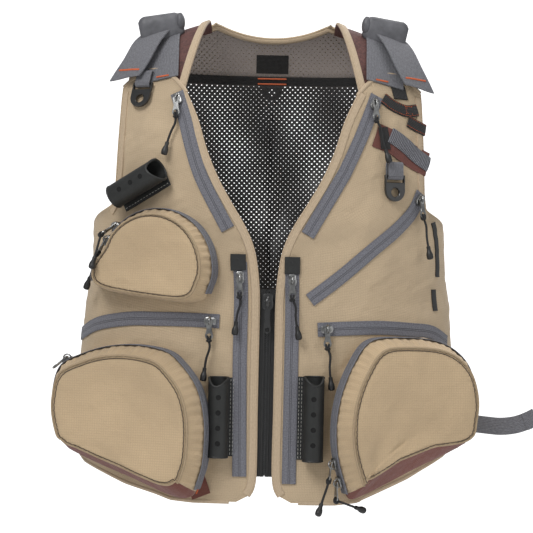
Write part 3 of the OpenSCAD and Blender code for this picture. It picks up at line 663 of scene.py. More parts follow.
M = {
    "khaki": ripstop("khaki_ripstop", linear(186, 165, 136)),
    "pocket": ripstop("pocket_ripstop", linear(188, 164, 131)),
    "binding": woven("khaki_binding", linear(186, 165, 138), 0.0016, 0.0001, 0.12),
    "webbing": woven("grey_webbing", linear(110, 110, 115), 0.0014, 0.0003),
    "black_webbing": woven("black_webbing", linear(30, 29, 29), 0.0014, 0.0003, 0.5),
    "tape": zip_tape("grey_zip_tape", linear(112, 112, 119)),
    "black_tape": woven("black_zip_tape", linear(34, 34, 34), 0.001, 0.0001, 0.3),
    "mesh": netting("knitted_net"),
    "brown": speckled("brown_yoke_cloth", linear(88, 58, 54), linear(104, 64, 58)),
    "brown_band": ripstop("maroon_band", linear(104, 60, 52)),
    "elastic": elastic("ribbed_grey_elastic", linear(118, 118, 124)),
    "piping": woven("khaki_piping", linear(164, 143, 114), 0.0013, 0.0001, 0.15),
    # Painted shadow: the thin dark cord in the groove between a lid's piping and its face
    "seam": thread("seam_painted_shadow", linear(84, 72, 58)),
    "maroon": ripstop("maroon_cloth", linear(112, 64, 54)),
    "nickel": nickel("nickel_metal"),
    "black_metal": moulded("black_painted_metal", (0.018, 0.018, 0.018), 0.35, 0.00003, 0.3),
    "lock": moulded("grey_nylon_lock", linear(86, 86, 90), 0.5, 0.00006),
    "black_plastic": moulded("black_nylon_ring", (0.012, 0.012, 0.012), 0.35, 0.00005, 0.2),
    "rubber": moulded("black_rubber", linear(26, 27, 26), 0.55, 0.00012),
    "grip": moulded("black_soft_grip", (0.011, 0.011, 0.011), 0.45, 0.00005),
    # Near-black painted shade for the shadowed insides of the tubes' vents
    "hole": moulded("vent_painted_shade", (0.002, 0.002, 0.002), 0.9, 0.00003),
    "cord": braid("black_braided_cord", linear(24, 24, 25)),
    "khaki_thread": thread("khaki_thread", linear(168, 146, 116)),
    "white_thread": thread("pale_thread", linear(205, 203, 196)),
    "orange_thread": thread("orange_thread", linear(196, 92, 48)),
    "grey_thread": thread("grey_thread", linear(74, 74, 80)),
}


# ---------- routes of the parts, as on the drawing ----------
neck_edge = [
    [30, -541], [15, -533], [9, -514], [9, -440], [9, -380], [9, -320], [12, -285], [17, -262],
    [27, -240], [42, -215], [56, -190], [69, -160], [81, -122], [95, -91]]
edge_x = [[z, x] for x, z in neck_edge]
armhole_x = [[-244, 197], [-228, 180], [-215, 173.5], [-200, 171.5], [-150, 169.5],
             [-100, 167], [-60, 164], [-20, 158]]
right_chest_zip = [[-104, -94], [-95, -121], [-88, -148], [-79, -177], [-68, -201], [-45, -243]]
left_chest_zip = [[115, -93], [99, -137], [84, -172], [77, -186], [42, -248]]
right_edge_zip = [[-31, -279], [-29, -320], [-29, -397], [-27, -513]]
left_edge_zip = [[26, -286], [27, -341], [27, -402], [27, -520]]
right_slash_zip = [[-52, -344], [-85, -343], [-118, -343], [-152, -344], [-187, -351], [-208, -364]]
left_slash_zip = [[55, -351], [91, -349], [124, -348], [158, -350], [182, -353], [200, -364]]
left_slant_zip = [[166, -198], [157, -219], [139, -240], [114, -262], [79, -293], [46, -319]]
zips = [right_chest_zip, left_chest_zip, right_edge_zip, left_edge_zip, right_slash_zip,
        left_slash_zip, left_slant_zip]
zip_lines = [curve(z, 6) for z in zips]


def near(x, z, line):
    """Distance to a polyline and how far along it, for many points at once."""
    q = np.stack([x.ravel(), z.ravel()], axis=1)
    a, b = line[:-1], line[1:]
    way = b - a
    long2 = (way ** 2).sum(axis=1)
    t = np.clip(((q[:, None] - a[None]) * way[None]).sum(axis=2) / long2[None], 0, 1)
    d = np.linalg.norm(q[:, None] - a[None] - t[..., None] * way[None], axis=2)
    k = d.argmin(axis=1)
    rows = np.arange(len(q))
    s = (run_of(line)[k] + t[rows, k] * np.sqrt(long2[k])).reshape(x.shape)
    return d[rows, k].reshape(x.shape), s


def soft_noise(x, z, scale, seed):
    """Smooth hills from eight crossed waves of about that width, between -1 and 1."""
    made = np.random.default_rng(seed)
    total = 0
    for _ in range(8):
        turn, phase, stretch = made.uniform(0, np.pi), made.uniform(0, 6.3), made.uniform(0.7, 1.4)
        across = x * np.cos(turn) + z * np.sin(turn)
        total = total + np.sin(across * 2 * np.pi / (scale * stretch) + phase)
    return total / 4.5


def folds(x, z):
    """Lift of the shell's wrinkles: soft hills between the seams, and short puckers beside them."""
    calm, pucker = 1.0, 0.0
    for k, line in enumerate(zip_lines):
        d, s = near(x, z, line)
        calm = np.minimum(calm, ease((d - 8) / 26))
        ripple = np.sin(s * 2 * np.pi / 6.3 + 1.5 * np.sin(s / 9 + k)) * (0.6 + 0.4 * np.sin(s / 17 + k))
        pucker = pucker + 0.42 * ripple * np.exp(-((d - 10) / 5.5) ** 2)
    slant = x * 0.8 - z * 0.6
    hills = (1.9 * soft_noise(x, z * 0.6, 66, 3) + 1.1 * soft_noise(slant, (x * 0.6 + z * 0.8) * 0.35, 30, 8)
             + 0.45 * soft_noise(x, z, 15, 21))
    return calm * hills + pucker


# ---------- fronts ----------
seam_angle = 94.0
panel_low, panel_top = -541.0, -97.0


def side_share(z):
    """0 at the armhole, 1 from its foot down, where the panel ends at the side seam."""
    return ease((-215 - z) / 29)


def hem_z(x, side):
    """Level of the hem, which rises towards the side seam behind the lower pocket."""
    return table(x, [[60, -541], [90, -539], [150, -524], [200, -505], [213, -494]] if side < 0
                 else [[60, -541], [92, -538], [150, -515], [198, -491], [213, -480]])


def hem_edge(t, side):
    """Level of the hem at a share of the way from the front edge to the side seam."""
    return hem_z(half_width(-500.0) * np.sin(np.radians(np.minimum(t * 94, 90))) ** (2 / power), side)


def top_edge(t):
    """Level of a panel's top, which bows upwards from the neckline to the armhole."""
    return panel_top + 26 * np.sin(np.pi * t ** 0.8) + 10 * t


def panel_grid(side, lift, rows=190, cols=88):
    """Front panel: t from the front edge to the armhole or side seam, levels from hem to top."""
    z0 = np.linspace(panel_low, panel_top, rows)[:, None]
    t = np.linspace(0, 1, cols)[None, :]
    lower, upper = hem_edge(t, side), top_edge(t)
    z = mix(lower, upper, (z0 - panel_low) / (panel_top - panel_low))
    edge = table(z0, edge_x)
    outer = np.where(z < -244, seam_angle, mix(
        angle_of(table(z, armhole_x), z), seam_angle, side_share(z)))
    a = mix(angle_of(edge, z), outer, t)
    flat = skin(a, z)
    x = flat[..., 0] * side
    fold = (folds(x, z) * ease(t * 14) * ease((1 - t) * 14)
            * ease((z - lower) / 14) * ease((upper - z) / 10))
    p = flat + skin_normal(a, z) * (lift + fold)[..., None]
    return p * [side, 1, 1]


def make_fronts():
    """Front panels: closed sheets with wrinkles, their lower edges along the hem."""
    for side, name in ((-1, "right"), (1, "left")):
        outer, inner = panel_grid(side, shell_t), panel_grid(side, 0.2)
        made = piece(f"{name}_front", [slab(outer, inner)], M["khaki"], "vest",
                     [f"{name}_front_panel"])


def make_back():
    """Back cloth below and yoke above, outside the net: closed sheets round the back between the seams."""
    t = np.linspace(0, 1, 150)[None, :]
    seam = seam_angle + 0.5
    level = np.linspace(-488, -320, 60)[:, None] + 0 * t
    a = mix(seam, 360 - seam, t) + 0 * level
    fold = 1.2 * soft_noise(skin(a, level)[..., 0], level, 70, 5) * np.sin(np.pi * t)
    sheets = [("lower_back", a, level, fold, ["back_panels"], (0.53, 0.185))]
    low = -68.0
    end = mix(180 - angle_of(table(low, armhole_x), low), seam, side_share(np.array(low)))
    a = mix(end, 360 - end, t)
    level = mix(low, rim_z(skin(a, low)[..., 0]), np.linspace(0, 1, 22)[:, None])
    sheets.append(("back_yoke", a, level, 0 * level, [], (0.34, 0.06)))
    for name, a, level, fold, replaced, flat in sheets:
        p, n = skin(a, level), skin_normal(a, level)
        outer, inner = (p + n * (back_o + k + fold)[..., None] for k in (shell_t, 0.2))
        made = piece(name, [slab(outer, inner)], M["khaki"], "vest", replaced)


rim_drop = dome_h * (1 - math.cos(math.radians(12)) ** (2 / power))


def rim_z(x):
    """Level of the back's top edge: the neckline's dip, then the shoulder's slope."""
    return np.where(np.abs(x) < 66, -17 + (17 - rim_drop) * (x / 66) ** 2, top_z(x) - rim_drop)


def net_fold(x, z):
    """Long soft folds that fan down and out from the neckline."""
    s = np.sign(x) * np.sqrt(np.abs(x) / 40 + 0.04)
    deep = ease((-60 - z) / 40) * ease((z + 330) / 50)
    return deep * (3.6 * np.sin(x / 15 + z / 34 + 0.6) + 2.6 * np.sin(s * 5 - z / 19))


def make_net():
    """Honeycomb net: cells 6.2 wide, rows 3.1 apart, each a ring between its edge and its hole."""
    w, h, s = 6.2, 5.4, 0.8
    corner = np.array([[0, h / 2], [w / 2, s / 2], [w / 2, -s / 2],
                       [0, -h / 2], [-w / 2, -s / 2], [-w / 2, s / 2]])
    rows = np.arange(-320, -3, 3.1)
    cells = []
    for k, z in enumerate(rows):
        x = np.arange(-26, 27) * w + (w / 2 if k % 2 else 0)
        cells.append(np.stack([x, np.full(len(x), z)], axis=1))
    cells = np.vstack(cells)
    cells = cells[(np.abs(cells[:, 0]) < np.minimum(157, table(cells[:, 1], armhole_x) - 8))
                  & (cells[:, 1] < rim_z(cells[:, 0]) - 3.2)]
    for name, part in (("lower_net", cells[cells[:, 1] < -170]), ("upper_net", cells[cells[:, 1] >= -170])):
        outer = (part[:, None] + corner).reshape(-1, 2)
        x, z = part[:, 0], part[:, 1]
        open_by = 0.26 + 0.07 * np.sin(x / 15 + z / 34 + 2.4) + 0.05 * soft_noise(x, z, 60, 9)
        open_by = np.clip(open_by, 0.15, 0.36) * (1 - 0.4 * ease((-215 - z) / 60))
        hole = (part[:, None] + corner * open_by[:, None, None]).reshape(-1, 2)
        key, back_to = np.unique(np.round(outer * 10).astype(int), axis=0, return_inverse=True)
        back_to = back_to.ravel()
        flat = np.vstack([key / 10, hole])
        n, e = len(flat), len(key)
        x, z = flat[:, 0], flat[:, 1]
        fold = net_fold(x, z)
        p = np.vstack([back(x, z, 0.75 + fold), back(x, z, 0.25 + fold)])
        m = len(part)
        k = np.arange(6)
        o = back_to.reshape(m, 6)
        i = e + np.arange(m * 6).reshape(m, 6)
        o2, i2 = o[:, (k + 1) % 6], i[:, (k + 1) % 6]
        quads = np.vstack([
            np.stack([o, o2, i2, i], axis=-1).reshape(-1, 4),
            np.stack([o + n, i + n, i2 + n, o2 + n], axis=-1).reshape(-1, 4),
            np.stack([i, i2, i2 + n, i + n], axis=-1).reshape(-1, 4)])
        uv = np.vstack([flat, flat]) * MM
        made = piece(name, [[p, quads, None, uv]], M["mesh"], "vest",
                     ["back_mesh"] if name == "lower_net" else [])
    make_side_net()


def make_side_net():
    """Plain net behind the lower back and round the sides, from the seams to the armholes."""
    t = np.linspace(0, 1, 60)[None, :]
    z = np.linspace(-487, -320, 20)[:, None] + 0 * t
    a = mix(seam_angle + 0.5, 360 - seam_angle - 0.5, t) + 0 * z
    n, p = skin_normal(a, z), skin(a, z)
    chunks = [slab(p + n * mesh_t, p + n * 0.2)]
    t = np.linspace(0, 1, 14)[None, :]
    z = np.linspace(-322, -80, 30)[:, None] + 0 * t
    end = np.where(z < -244, seam_angle + 0.5, mix(
        180 - angle_of(table(z, armhole_x), z), seam_angle + 0.5, side_share(z)))
    inner = 180 - angle_of(np.minimum(153, table(z, armhole_x) - 12), z)
    a = mix(end, inner, t)
    n, p = skin_normal(a, z), skin(a, z)
    fold = net_fold(p[..., 0], z) * t
    half = slab(p + n * (0.9 + fold)[..., None], p + n * (0.2 + fold)[..., None])
    piece("side_net", [*chunks, mirror(half), half], M["mesh"], "vest")


# ---------- bands, tapes and bindings ----------
def on_front(path, lift, step=3.0):
    """Points and normals of a route on the front, which follows the shell's folds."""
    q = even(curve(path, 8), step)
    x, z = q[:, 0], q[:, 1]
    return front(x, z, lift + folds(x, z)), front_normal(x, z)


def front_strip(path, width, lift, thick, crown=0.0, steps=8):
    """Flat strip along a route on the front."""
    p, n = on_front(path, lift)
    return carry(strip_profile(width, 0, thick, steps, crown), p, n)


def front_stitch(path, offset, lift, length=2.4, gap=1.4, thick=0.3):
    """Stitched line beside a route on the front."""
    p, n = on_front(path, lift)
    return stitches(p, n, offset, length, gap, thick)


def over_strip(path, width, thick, crown=0.0, step=2.5):
    """Flat strip over the shoulder, its route given as x, turn and lift."""
    q = even(curve(path, 8), step)
    return carry(strip_profile(width, 0, thick, 8, crown), over(q[:, 0], q[:, 1], q[:, 2]),
                 over_normal(q[:, 0], q[:, 1]))


def mirror(chunk):
    """The same chunk on the other side of the vest."""
    return [chunk[0] * [-1, 1, 1], *chunk[1:]]


def make_zips():
    """Coil tapes sewn on the shell: each a strip with a stitched line near both edges."""
    chunks, sewn = [], []
    for path in zips:
        chunks.append(front_strip(path, 15.5, tape_o, tape_t, 0.2, 10))
        for side in (-1, 1):
            sewn.append(front_stitch(path, side * 6.6, trim_o - lie + 0.05, thick=0.2))
    piece("flat_zip_tapes", chunks, M["tape"], "vest", ["zip_tapes"])
    piece("tape_stitches", sewn, M["grey_thread"], "vest")


def make_front_zip():
    """Two tapes and two rows of moulded teeth, each tooth a block with a narrow head."""
    z = np.linspace(-513, -308, 60)
    chunks = []
    for side in (-1, 1):
        p = front(side * 8.25 + 0 * z, z, 0 * z)
        chunks.append(carry(strip_profile(15.5, -1.8, 1.2), p, front_normal(side * 8.25 + 0 * z, z)))
        p = front(side * 3.2 + 0 * z, z, 0 * z)
        chunks.append(carry(round_profile(1.1, 8, 0.8), p, front_normal(0 * z, z)))
    piece("front_zip_tapes", chunks, M["black_tape"], "vest", ["front_zip"])
    block = np.array([[-1.5, -0.8, -2], [2.1, -0.55, -2], [2.1, 0.55, -2], [-1.5, 0.8, -2],
                      [-1.5, -0.8, 1.0], [1.7, -0.45, 0.7], [1.7, 0.45, 0.7], [-1.5, 0.8, 1.0]])
    sides = np.array([[3, 2, 1, 0], [4, 5, 6, 7], [0, 1, 5, 4], [1, 2, 6, 5], [2, 3, 7, 6], [3, 0, 4, 7]])
    z = np.arange(-511, -310, 2.5)
    teeth = []
    for side in (-1, 1):
        at = front(0 * z, z + (1.25 if side > 0 else 0), 0 * z)
        b = block * [-side, 1, 1]
        points = at[:, None] + np.stack([b[:, 0] + side * 0.9, -b[:, 2], b[:, 1]], axis=1)
        quads = sides[None] + (np.arange(len(z)) * 8)[:, None, None]
        teeth.append([points.reshape(-1, 3), quads.reshape(-1, 4), None, np.zeros((len(z) * 8, 2))])
    piece("front_teeth", teeth, M["black_metal"], "vest", sharp=30)
    strips = []
    for side in (-1, 1):
        for offset in (13, 20):
            strips.append(front_stitch([[side * offset, -510], [side * offset, -420], [side * offset, -330]],
                                       0, shell_t + 0.05, thick=0.26))
    piece("placket_stitches", strips, M["khaki_thread"], "vest")


def yoke_inner(turn):
    """Distance of the neckline from the middle, which widens down the front by a power of 1.5."""
    return 72 + 22 * (np.maximum(0, -turn) / 52) ** 1.5


def yoke_outer(turn):
    """Distance of the armhole's edge from the middle, widening both ways by a power of 1.3."""
    return 154 + 8 * (np.abs(turn) / 50) ** 1.3


def make_bindings():
    """Folded bindings round the front edges, armholes and neckline, with a stitched line each."""
    chunks, sewn = [], []
    wrap = np.array([[-4.5, -1.6], [-4.8, 0.2], [-4.2, 1.7], [0, 2.05], [4, 1.6], [4.7, 0.6], [4.5, 0.1],
                     [0, 0.1]])
    front_edge = [[x + 4.0, z] for x, z in neck_edge if z > -535]
    armhole = [[table(z, armhole_x) - 4.2, z] for z in (-226, -214, -200, -180, -150, -120, -92)]
    for side in (-1, 1):
        for path, turned in ((front_edge, -side), (armhole, side)):
            q = even(curve(path, 8), 3.0)
            x, z = q[:, 0] * side, q[:, 1]
            p, n = front(x, z, 1.5 + 0.5 * folds(x, z)), front_normal(x, z)
            chunks.append(carry(wrap * [turned, 1], p, n))
            sewn.append(stitches(p + n * 1.9, n, turned * 3.0, thick=0.24))
        turn = np.linspace(-60, 13, 44)
        for edge, turned in ((yoke_inner(turn) + 4, side), (yoke_outer(turn) - 4, -side)):
            p, n = over(edge * side, turn, 0.2), over_normal(edge * side, turn)
            chunks.append(carry(wrap * [turned, 0.8], p, n))
            sewn.append(stitches(p + n * 1.5, n, turned * -3, thick=0.24))
    x = np.linspace(-74, 74, 60)
    z = rim_z(x) - 2.5
    chunks.append(carry(round_profile(3.4, 12, 0.75), back(x, z, 1.4), back_normal(x, z)))
    piece("bindings", chunks, M["binding"], "vest", ["edge_bindings"])
    piece("binding_stitches", sewn, M["khaki_thread"], "vest")
    # Webbing over the yoke's seam, and a plain patch at the neck
    bands = []
    for wide, z, half in ((11, -62, 150), (25, -43, 19)):
        x = np.linspace(-half, half, 80)
        z = z + 0 * x
        at = back(x, z, 0.6 + 0 * x)
        bands.append(carry(strip_profile(wide, -1.5, 1.0, 4, 0.2), at, back_normal(x, z)))
    piece("yoke_seam_band", bands, M["black_webbing"], "vest")
    # Piping along the top and the hem of both fronts
    chunks = []
    for side in (-1, 1):
        t = np.linspace(0.02, 0.98, 50)
        z = top_edge(t)
        a = mix(angle_of(table(panel_top, edge_x), z), angle_of(table(z, armhole_x), z), t)
        n = skin_normal(a, z) * [side, 1, 1]
        chunks.append(carry(round_profile(2.6, 10, 0.8), skin(a, z) * [side, 1, 1] + n * 1.6, n))
        t = np.linspace(0.02, 1, 60)
        z = hem_edge(t, side)
        a = mix(angle_of(table(z, edge_x), z), seam_angle, t)
        n = skin_normal(a, z) * [side, 1, 1]
        chunks.append(carry(round_profile(2.4, 10, 0.75), skin(a, z) * [side, 1, 1] + n * 1.0, n))
    piece("edge_piping", chunks, M["binding"], "vest")


def make_yokes():
    """Brown yokes over the shoulders, of padded net cloth."""
    chunks = []
    for side in (-1, 1):
        turn = np.linspace(16, -56, 60)[:, None]
        t = np.linspace(0, 1, 40)[None, :]
        x = mix(yoke_inner(turn), yoke_outer(turn), t) + 0 * turn
        turn = turn + 0 * t
        n, p = over_normal(x, turn), over_point(x, turn)
        soft = 0.5 * soft_noise(x, turn * 2, 26, 4)
        chunks.append(slab((p + n * (-0.6 + soft)[..., None]) * [side, 1, 1],
                           (p + n * (-2.4 + soft)[..., None]) * [side, 1, 1]))
    made = piece("brown_yokes", chunks, M["brown"], "vest", ["shoulder_yokes"])


def webbing_loop(f):
    """Flat webbing carried round a ring's bar: half a circle, drawn out above to its seam."""
    a = round_turn(24)
    r = 3.2
    loop = in_frame(f, np.stack([0 * a, np.where(np.sin(a) > 0, 12, 0) + r * np.sin(a),
                                 r * np.cos(a) * 0.95], axis=1))
    normal = np.cross(along(loop, True), np.tile(f[1], (24, 1)))
    return carry(strip_profile(19, -0.8, webbing_t, 6), loop, -normal, True)


def make_straps():
    """Shoulder webbing over both yokes, loops of the rings, tails cut on a slant, and orange bar tacks."""
    strap = [[124, -49, 2.5], [125, -38, 1], [126, -24, 1], [126, -8, 1], [126, 6, 3], [125, 14, 5],
             [124, 26, 5]]
    half = over_strip(strap, 46, webbing_t, 0.5)
    loops = [webbing_loop(f) for f in ring_frames().values()]
    piece("shoulder_webbing", [half, mirror(half), *loops], M["webbing"], "vest",
          ["shoulder_straps"])
    right_tail = [[-129, -15, 8], [-137, -26, 11], [-146, -37, 12.2], [-157, -45, 13.5]]
    left_tail = [[129, -15, 8], [137, -27, 11], [146, -38, 12], [157, -47, 12.6]]
    tails, sewn = [], []
    for path, side in ((right_tail, -1), (left_tail, 1)):
        q = even(curve(path, 8), 1.5)
        n = over_normal(q[:, 0], q[:, 1])
        p = over(q[:, 0], q[:, 1], q[:, 2])
        t = along(p)
        across = unit(np.cross(t, n)) * side
        share = np.linspace(0, 1, len(q))[:, None, None]
        s = np.linspace(-1, 1, 17)[None, :, None]
        # The end is cut on a slant, and the tail curls a little across
        grid = (p[:, None] + across[:, None] * s * 18.5 + t[:, None] * (-s * 10 * share ** 3)
                + n[:, None] * (0.9 * (1 - s ** 2) + 1.6 * share ** 2 * np.sin(s * 2.2)))
        top = grid + n[:, None] * webbing_t
        tails.append(slab(top, grid))
        k = int(len(q) * 0.86)
        sewn.append(carry(strip_profile(2.2, -0.1, 0.7, 4, 0.2), top[k, 2:15], np.tile(n[k], (13, 1))))
    piece("webbing_tails", tails, M["webbing"], "vest", ["strap_tails"])
    # Tacks at the tops of both fronts and beside the hem, then two under the patch inside the back
    for x, z, turn, lift in ((-120, -76, 0.15, 2.6), (120, -76, -0.15, 2.6), (-72, -529, 1.2, 0.4)):
        f = surface_frame(point(x, z, shell_t + lift), front_normal(x, z))
        sewn.append(bar_tack(f[0] + f[3] * 0.3, f[1] * math.cos(turn) + f[2] * math.sin(turn), f[3],
                             15 if z > -100 else 9, 2.0))
    for z in (-59.0, -65.0):
        f = surface_frame(back(np.array(0.0), np.array(z), np.array(-1.1)), -skin_normal(180.0, z))
        sewn.append(bar_tack(f[0] + f[3] * 0.3, f[1], f[3], 34, 2.0))
    piece("orange_tacks", sewn, M["orange_thread"], "vest")


def make_side_straps():
    """Waist webbing round both sides, and its free tail on the left, waved by a sine, its end folded back."""
    a = np.linspace(98, 142, 50)
    p, n = skin(a, -462), skin_normal(a, -462)
    chunks = [carry(strip_profile(25, 4.5, webbing_t, 8, 0.3), p, n)]
    chunks.append(mirror(chunks[0]))
    tail = [[214, 24, -462], [224, 12, -461], [238, 4, -459], [254, 0, -460], [270, -2, -461],
            [286, -4, -459], [300, -6, -454], [311, -8, -448]]
    q = even(curve(tail, 8), 2.5)
    up = np.tile(unit(np.array([0.15, -1, 0.1])), (len(q), 1))
    q = q + up * (0.8 * np.sin(run_of(q) / 11))[:, None]
    chunks.append(carry(strip_profile(20, 0, webbing_t, 8, 0.3), q, up))
    # The end of the tail is folded back and sewn
    chunks.append(carry(strip_profile(20.4, webbing_t, 1.3, 8, 0.2), q[-7:], up[-7:]))
    piece("waist_webbing", chunks, M["webbing"], "vest", ["side_straps"])


def make_trim():
    """Chest pieces: brown band, ribbed elastic with its tongue, tool webbing, and zip garages."""
    brown = front_strip([[114, -136], [135, -145], [155, -157], [172, -166]], 28, tape_o, 1.2, 0.3, 12)
    piece("brown_chest_band", [brown], M["brown_band"], "vest", ["chest_trim"])
    ribbed = front_strip([[129, -136], [146, -146], [160, -157], [172, -166]], 18, trim_o, 1.4, 1.2, 12)
    piece("chest_elastic", [ribbed], M["elastic"], "vest")
    long_band = [[122, -95], [134, -103], [148, -108], [160, -106]]
    short_band = [[150, -119], [160, -124], [169, -128]]
    black = [front_strip(*band) for band in (
        (long_band, 14, tape_o, 1.8, 0.5), (short_band, 14, tape_o, 1.8, 0.4),
        ([[139, -80], [141, -88], [142, -95]], 18, tape_o, 1.8, 0.4),
        ([[121, -128], [123, -140], [124, -152]], 12, trim_o, 1.0, 0.3),
        ([[182, -230], [186, -260], [188, -291]], 9, shell_t, 1.2, 0.2),
        ([[185, -305], [187, -329]], 9, shell_t, 1.2, 0.2))]
    piece("black_tool_webbing", black, M["black_webbing"], "vest")
    # Garages over the tops of the two edge zips, each with an eyelet
    tabs = []
    a = np.linspace(0, 2 * np.pi, 17)[:-1, None]
    for path in ([[-33, -270], [-33, -279], [-32.5, -288]], [[26, -272], [26, -281], [26, -291]]):
        tabs.append(front_strip(path, 17, trim_o, 1.3, 0.5))
        p, n = on_front(path, trim_o + 1.7)
        at, level, up, normal = surface_frame(p[2], n[2])
        ring = at + level * np.cos(a) * 1.6 + up * np.sin(a) * 1.6
        tabs.append(tube(np.stack([ring - normal * 0.4, ring, ring * 0.5 + at * 0.5 + normal * 0.4])))
    piece("zip_garages", tabs, M["rubber"], "vest")
    # Red thread on the tool webbing: a line by each edge, and a box with a cross
    sewn = [front_stitch(path, side * (14 / 2 - 1.6), tape_o + 2.0, 1.8, 1.0, 0.28)
            for path in (long_band, short_band) for side in (-1, 1)]
    at, level, up, normal = surface_frame(point(150, -107, tape_o + 2.45), front_normal(150, -107))
    for a, b in (((-4, -4), (4, 4)), ((-4, 4), (4, -4)), ((-4, -4), (4, -4)), ((-4, 4), (4, 4)),
                 ((-4, -4), (-4, 4)), ((4, -4), (4, 4))):
        line = at + np.outer(np.linspace(a[0], b[0], 6), level) + np.outer(np.linspace(a[1], b[1], 6), up)
        sewn.append(stitches(line, np.tile(normal, (6, 1)), 0, 1.6, 0.8, 0.26))
    piece("red_stitches", sewn, M["orange_thread"], "vest")


# ---------- plates with a hole ----------
def smooth_loop(points, n):
    """Closed curve through the points, at so many even steps."""
    q = curve(points, 12, True)
    q = np.vstack([q, q[0]])
    s = run_of(q)
    t = np.linspace(0, s[-1], n, endpoint=False)
    return np.stack([np.interp(t, s, q[:, k]) for k in (0, 1)], axis=1)


def ring_plate(outline, hole, thick, bevel, f, centre=None):
    """Flat plate with a hole: a bevelled section carried round between the outline and the hole."""
    c = hole.mean(axis=0) if centre is None else np.array(centre)
    inward = lambda r, by: r - unit(r - c) * by
    h = thick / 2
    rings = [(inward(outline, bevel), -h), (outline, -h + bevel), (outline, h - bevel),
             (inward(outline, bevel), h), (inward(hole, -bevel), h), (hole, h - bevel), (hole, -h + bevel),
             (inward(hole, -bevel), -h)]
    grid = np.stack([np.column_stack([r, np.full(len(r), w)]) for r, w in rings])
    return tube(in_frame(f, grid), True, grid[..., :2] * MM)


def rays(c, outline, n):
    """Outline sampled at even angles round a point inside it."""
    q = np.vstack([outline, outline[0]]) - c
    a = np.unwrap(np.arctan2(q[:, 1], q[:, 0]))
    if a[-1] < a[0]:
        a, q = a[::-1], q[::-1]
    want = a[0] + np.arange(n) * 2 * np.pi / n
    return c + np.stack([np.interp(want, a, q[:, 0]), np.interp(want, a, q[:, 1])], axis=1), want


def block(f, low, high, soft=0.4):
    """Box with rounded long edges between two corners of a frame."""
    low, high = np.array(low, float), np.array(high, float)
    m, h = (low + high) / 2, (high - low) / 2
    soft = min(soft, h.min() * 0.6)
    ring = lambda k: np.array([
        [-h[0] + k, -h[1] + soft], [-h[0] + soft, -h[1] + k], [h[0] - soft, -h[1] + k],
        [h[0] - k, -h[1] + soft], [h[0] - k, h[1] - soft], [h[0] - soft, h[1] - k],
        [-h[0] + soft, h[1] - k], [-h[0] + k, h[1] - soft]])
    rings = [(soft, -h[2]), (0, -h[2] + soft), (0, h[2] - soft), (soft, h[2])]
    grid = np.stack([np.column_stack([ring(k), np.full(8, w)]) for k, w in rings]) + m
    return tube(in_frame(f, grid))


def ring_frames():
    """Places of the three D-rings: bar's middle, level, up, and outwards."""
    lift = shell_t + 0.6 + 2.4 + webbing_t
    return {
        "right": surface_frame(point(-140, -85, lift), front_normal(-140.0, -85.0)),
        "left": surface_frame(point(134, -181, lift), front_normal(134.0, -181.0)),
        "rear": surface_frame(back(np.array(0.0), np.array(-62.0), np.array(lift + back_o)),
                              skin_normal(180.0, -62.0))}


def make_rings():
    """D-rings: a bevelled plate with a round hole, two arms and a bar in the webbing loop."""
    c = np.array([0, -18.0])
    bow = [np.array([0, -15.5]) + 12.5 * np.stack([np.cos(a), np.sin(a)])
           for a in np.linspace(np.pi, 2 * np.pi, 15)]
    out, want = rays(c, np.array([[-12.5, -7], [-12.5, -15.5], *bow, [12.5, -7]]), 64)
    hole = c + 5 * np.stack([np.cos(want), np.sin(want)], axis=1)
    for name, f in ring_frames().items():
        chunks = [ring_plate(out, hole, 4, 0.7, f)]
        for low, high in ((-12.5, -10.7), (10.7, 12.5)):
            chunks.append(block(f, (low, -9, -2), (high, 1.3, 2), 0.5))
        bar = f[0] + np.linspace(-12, 12, 9)[:, None] * f[1]
        chunks.append(carry(round_profile(1.3, 12), bar, np.tile(f[3], (9, 1))))
        piece(f"{name}_ring", chunks, M["black_plastic"], f"{name}_d_ring",
              [f"{name}_d_ring"])


def make_locks():
    """Ladder locks: a fat rounded bar on each shoulder, creased along it, with a boss at its neck end.

    Its section shrinks at both ends by the square root of the distance, as a rounded end does.
    """
    shape = np.array([[-7, -14], [-3, -15.5], [3, -15], [7.5, -11], [8.6, -4], [7.4, -0.6], [8.4, 2.5],
                      [8.2, 9], [5.5, 13.2], [0, 15], [-5, 13.5], [-7.5, 8], [-8, 0], [-8, -8]])
    shape = curve(shape, 3, True)
    chunks = []
    for side in (-1, 1):
        centre = np.array([side * 125.5, -41, -15.0])
        way = unit(np.array([-side * math.cos(0.22), 0.0, math.sin(0.22)]))
        x = np.linspace(-26, 24, 21)
        rounded = np.sqrt(np.clip(np.minimum(x + 26, 24 - x) / 7, 0, 1))
        fat = np.minimum(1, 0.62 + 0.38 * rounded) * (1 - 0.1 * x / 26)
        path = centre + x[:, None] * way
        up = np.tile([0, 0, 1.0], (21, 1))
        chunks.append(carry(shape * [side, 1], path, up, scale=fat))
        boss = centre + way * 21 + np.array([0, -4, 2.0])
        spine = boss + np.linspace(-10, 10, 11)[:, None] * np.array([0.1 * side, 0, 1.0])
        round_off = np.sqrt(np.clip(1.02 - np.linspace(-1, 1, 11) ** 2, 0.12, 1))
        chunks.append(carry(round_profile(5.2, 16), spine, np.tile([0, -1.0, 0], (11, 1)), scale=round_off))
    piece("ladder_locks", chunks, M["lock"], "vest", ["strap_locks"])


# ---------- sliders, pulls and cords ----------
pull_lean = 2.0
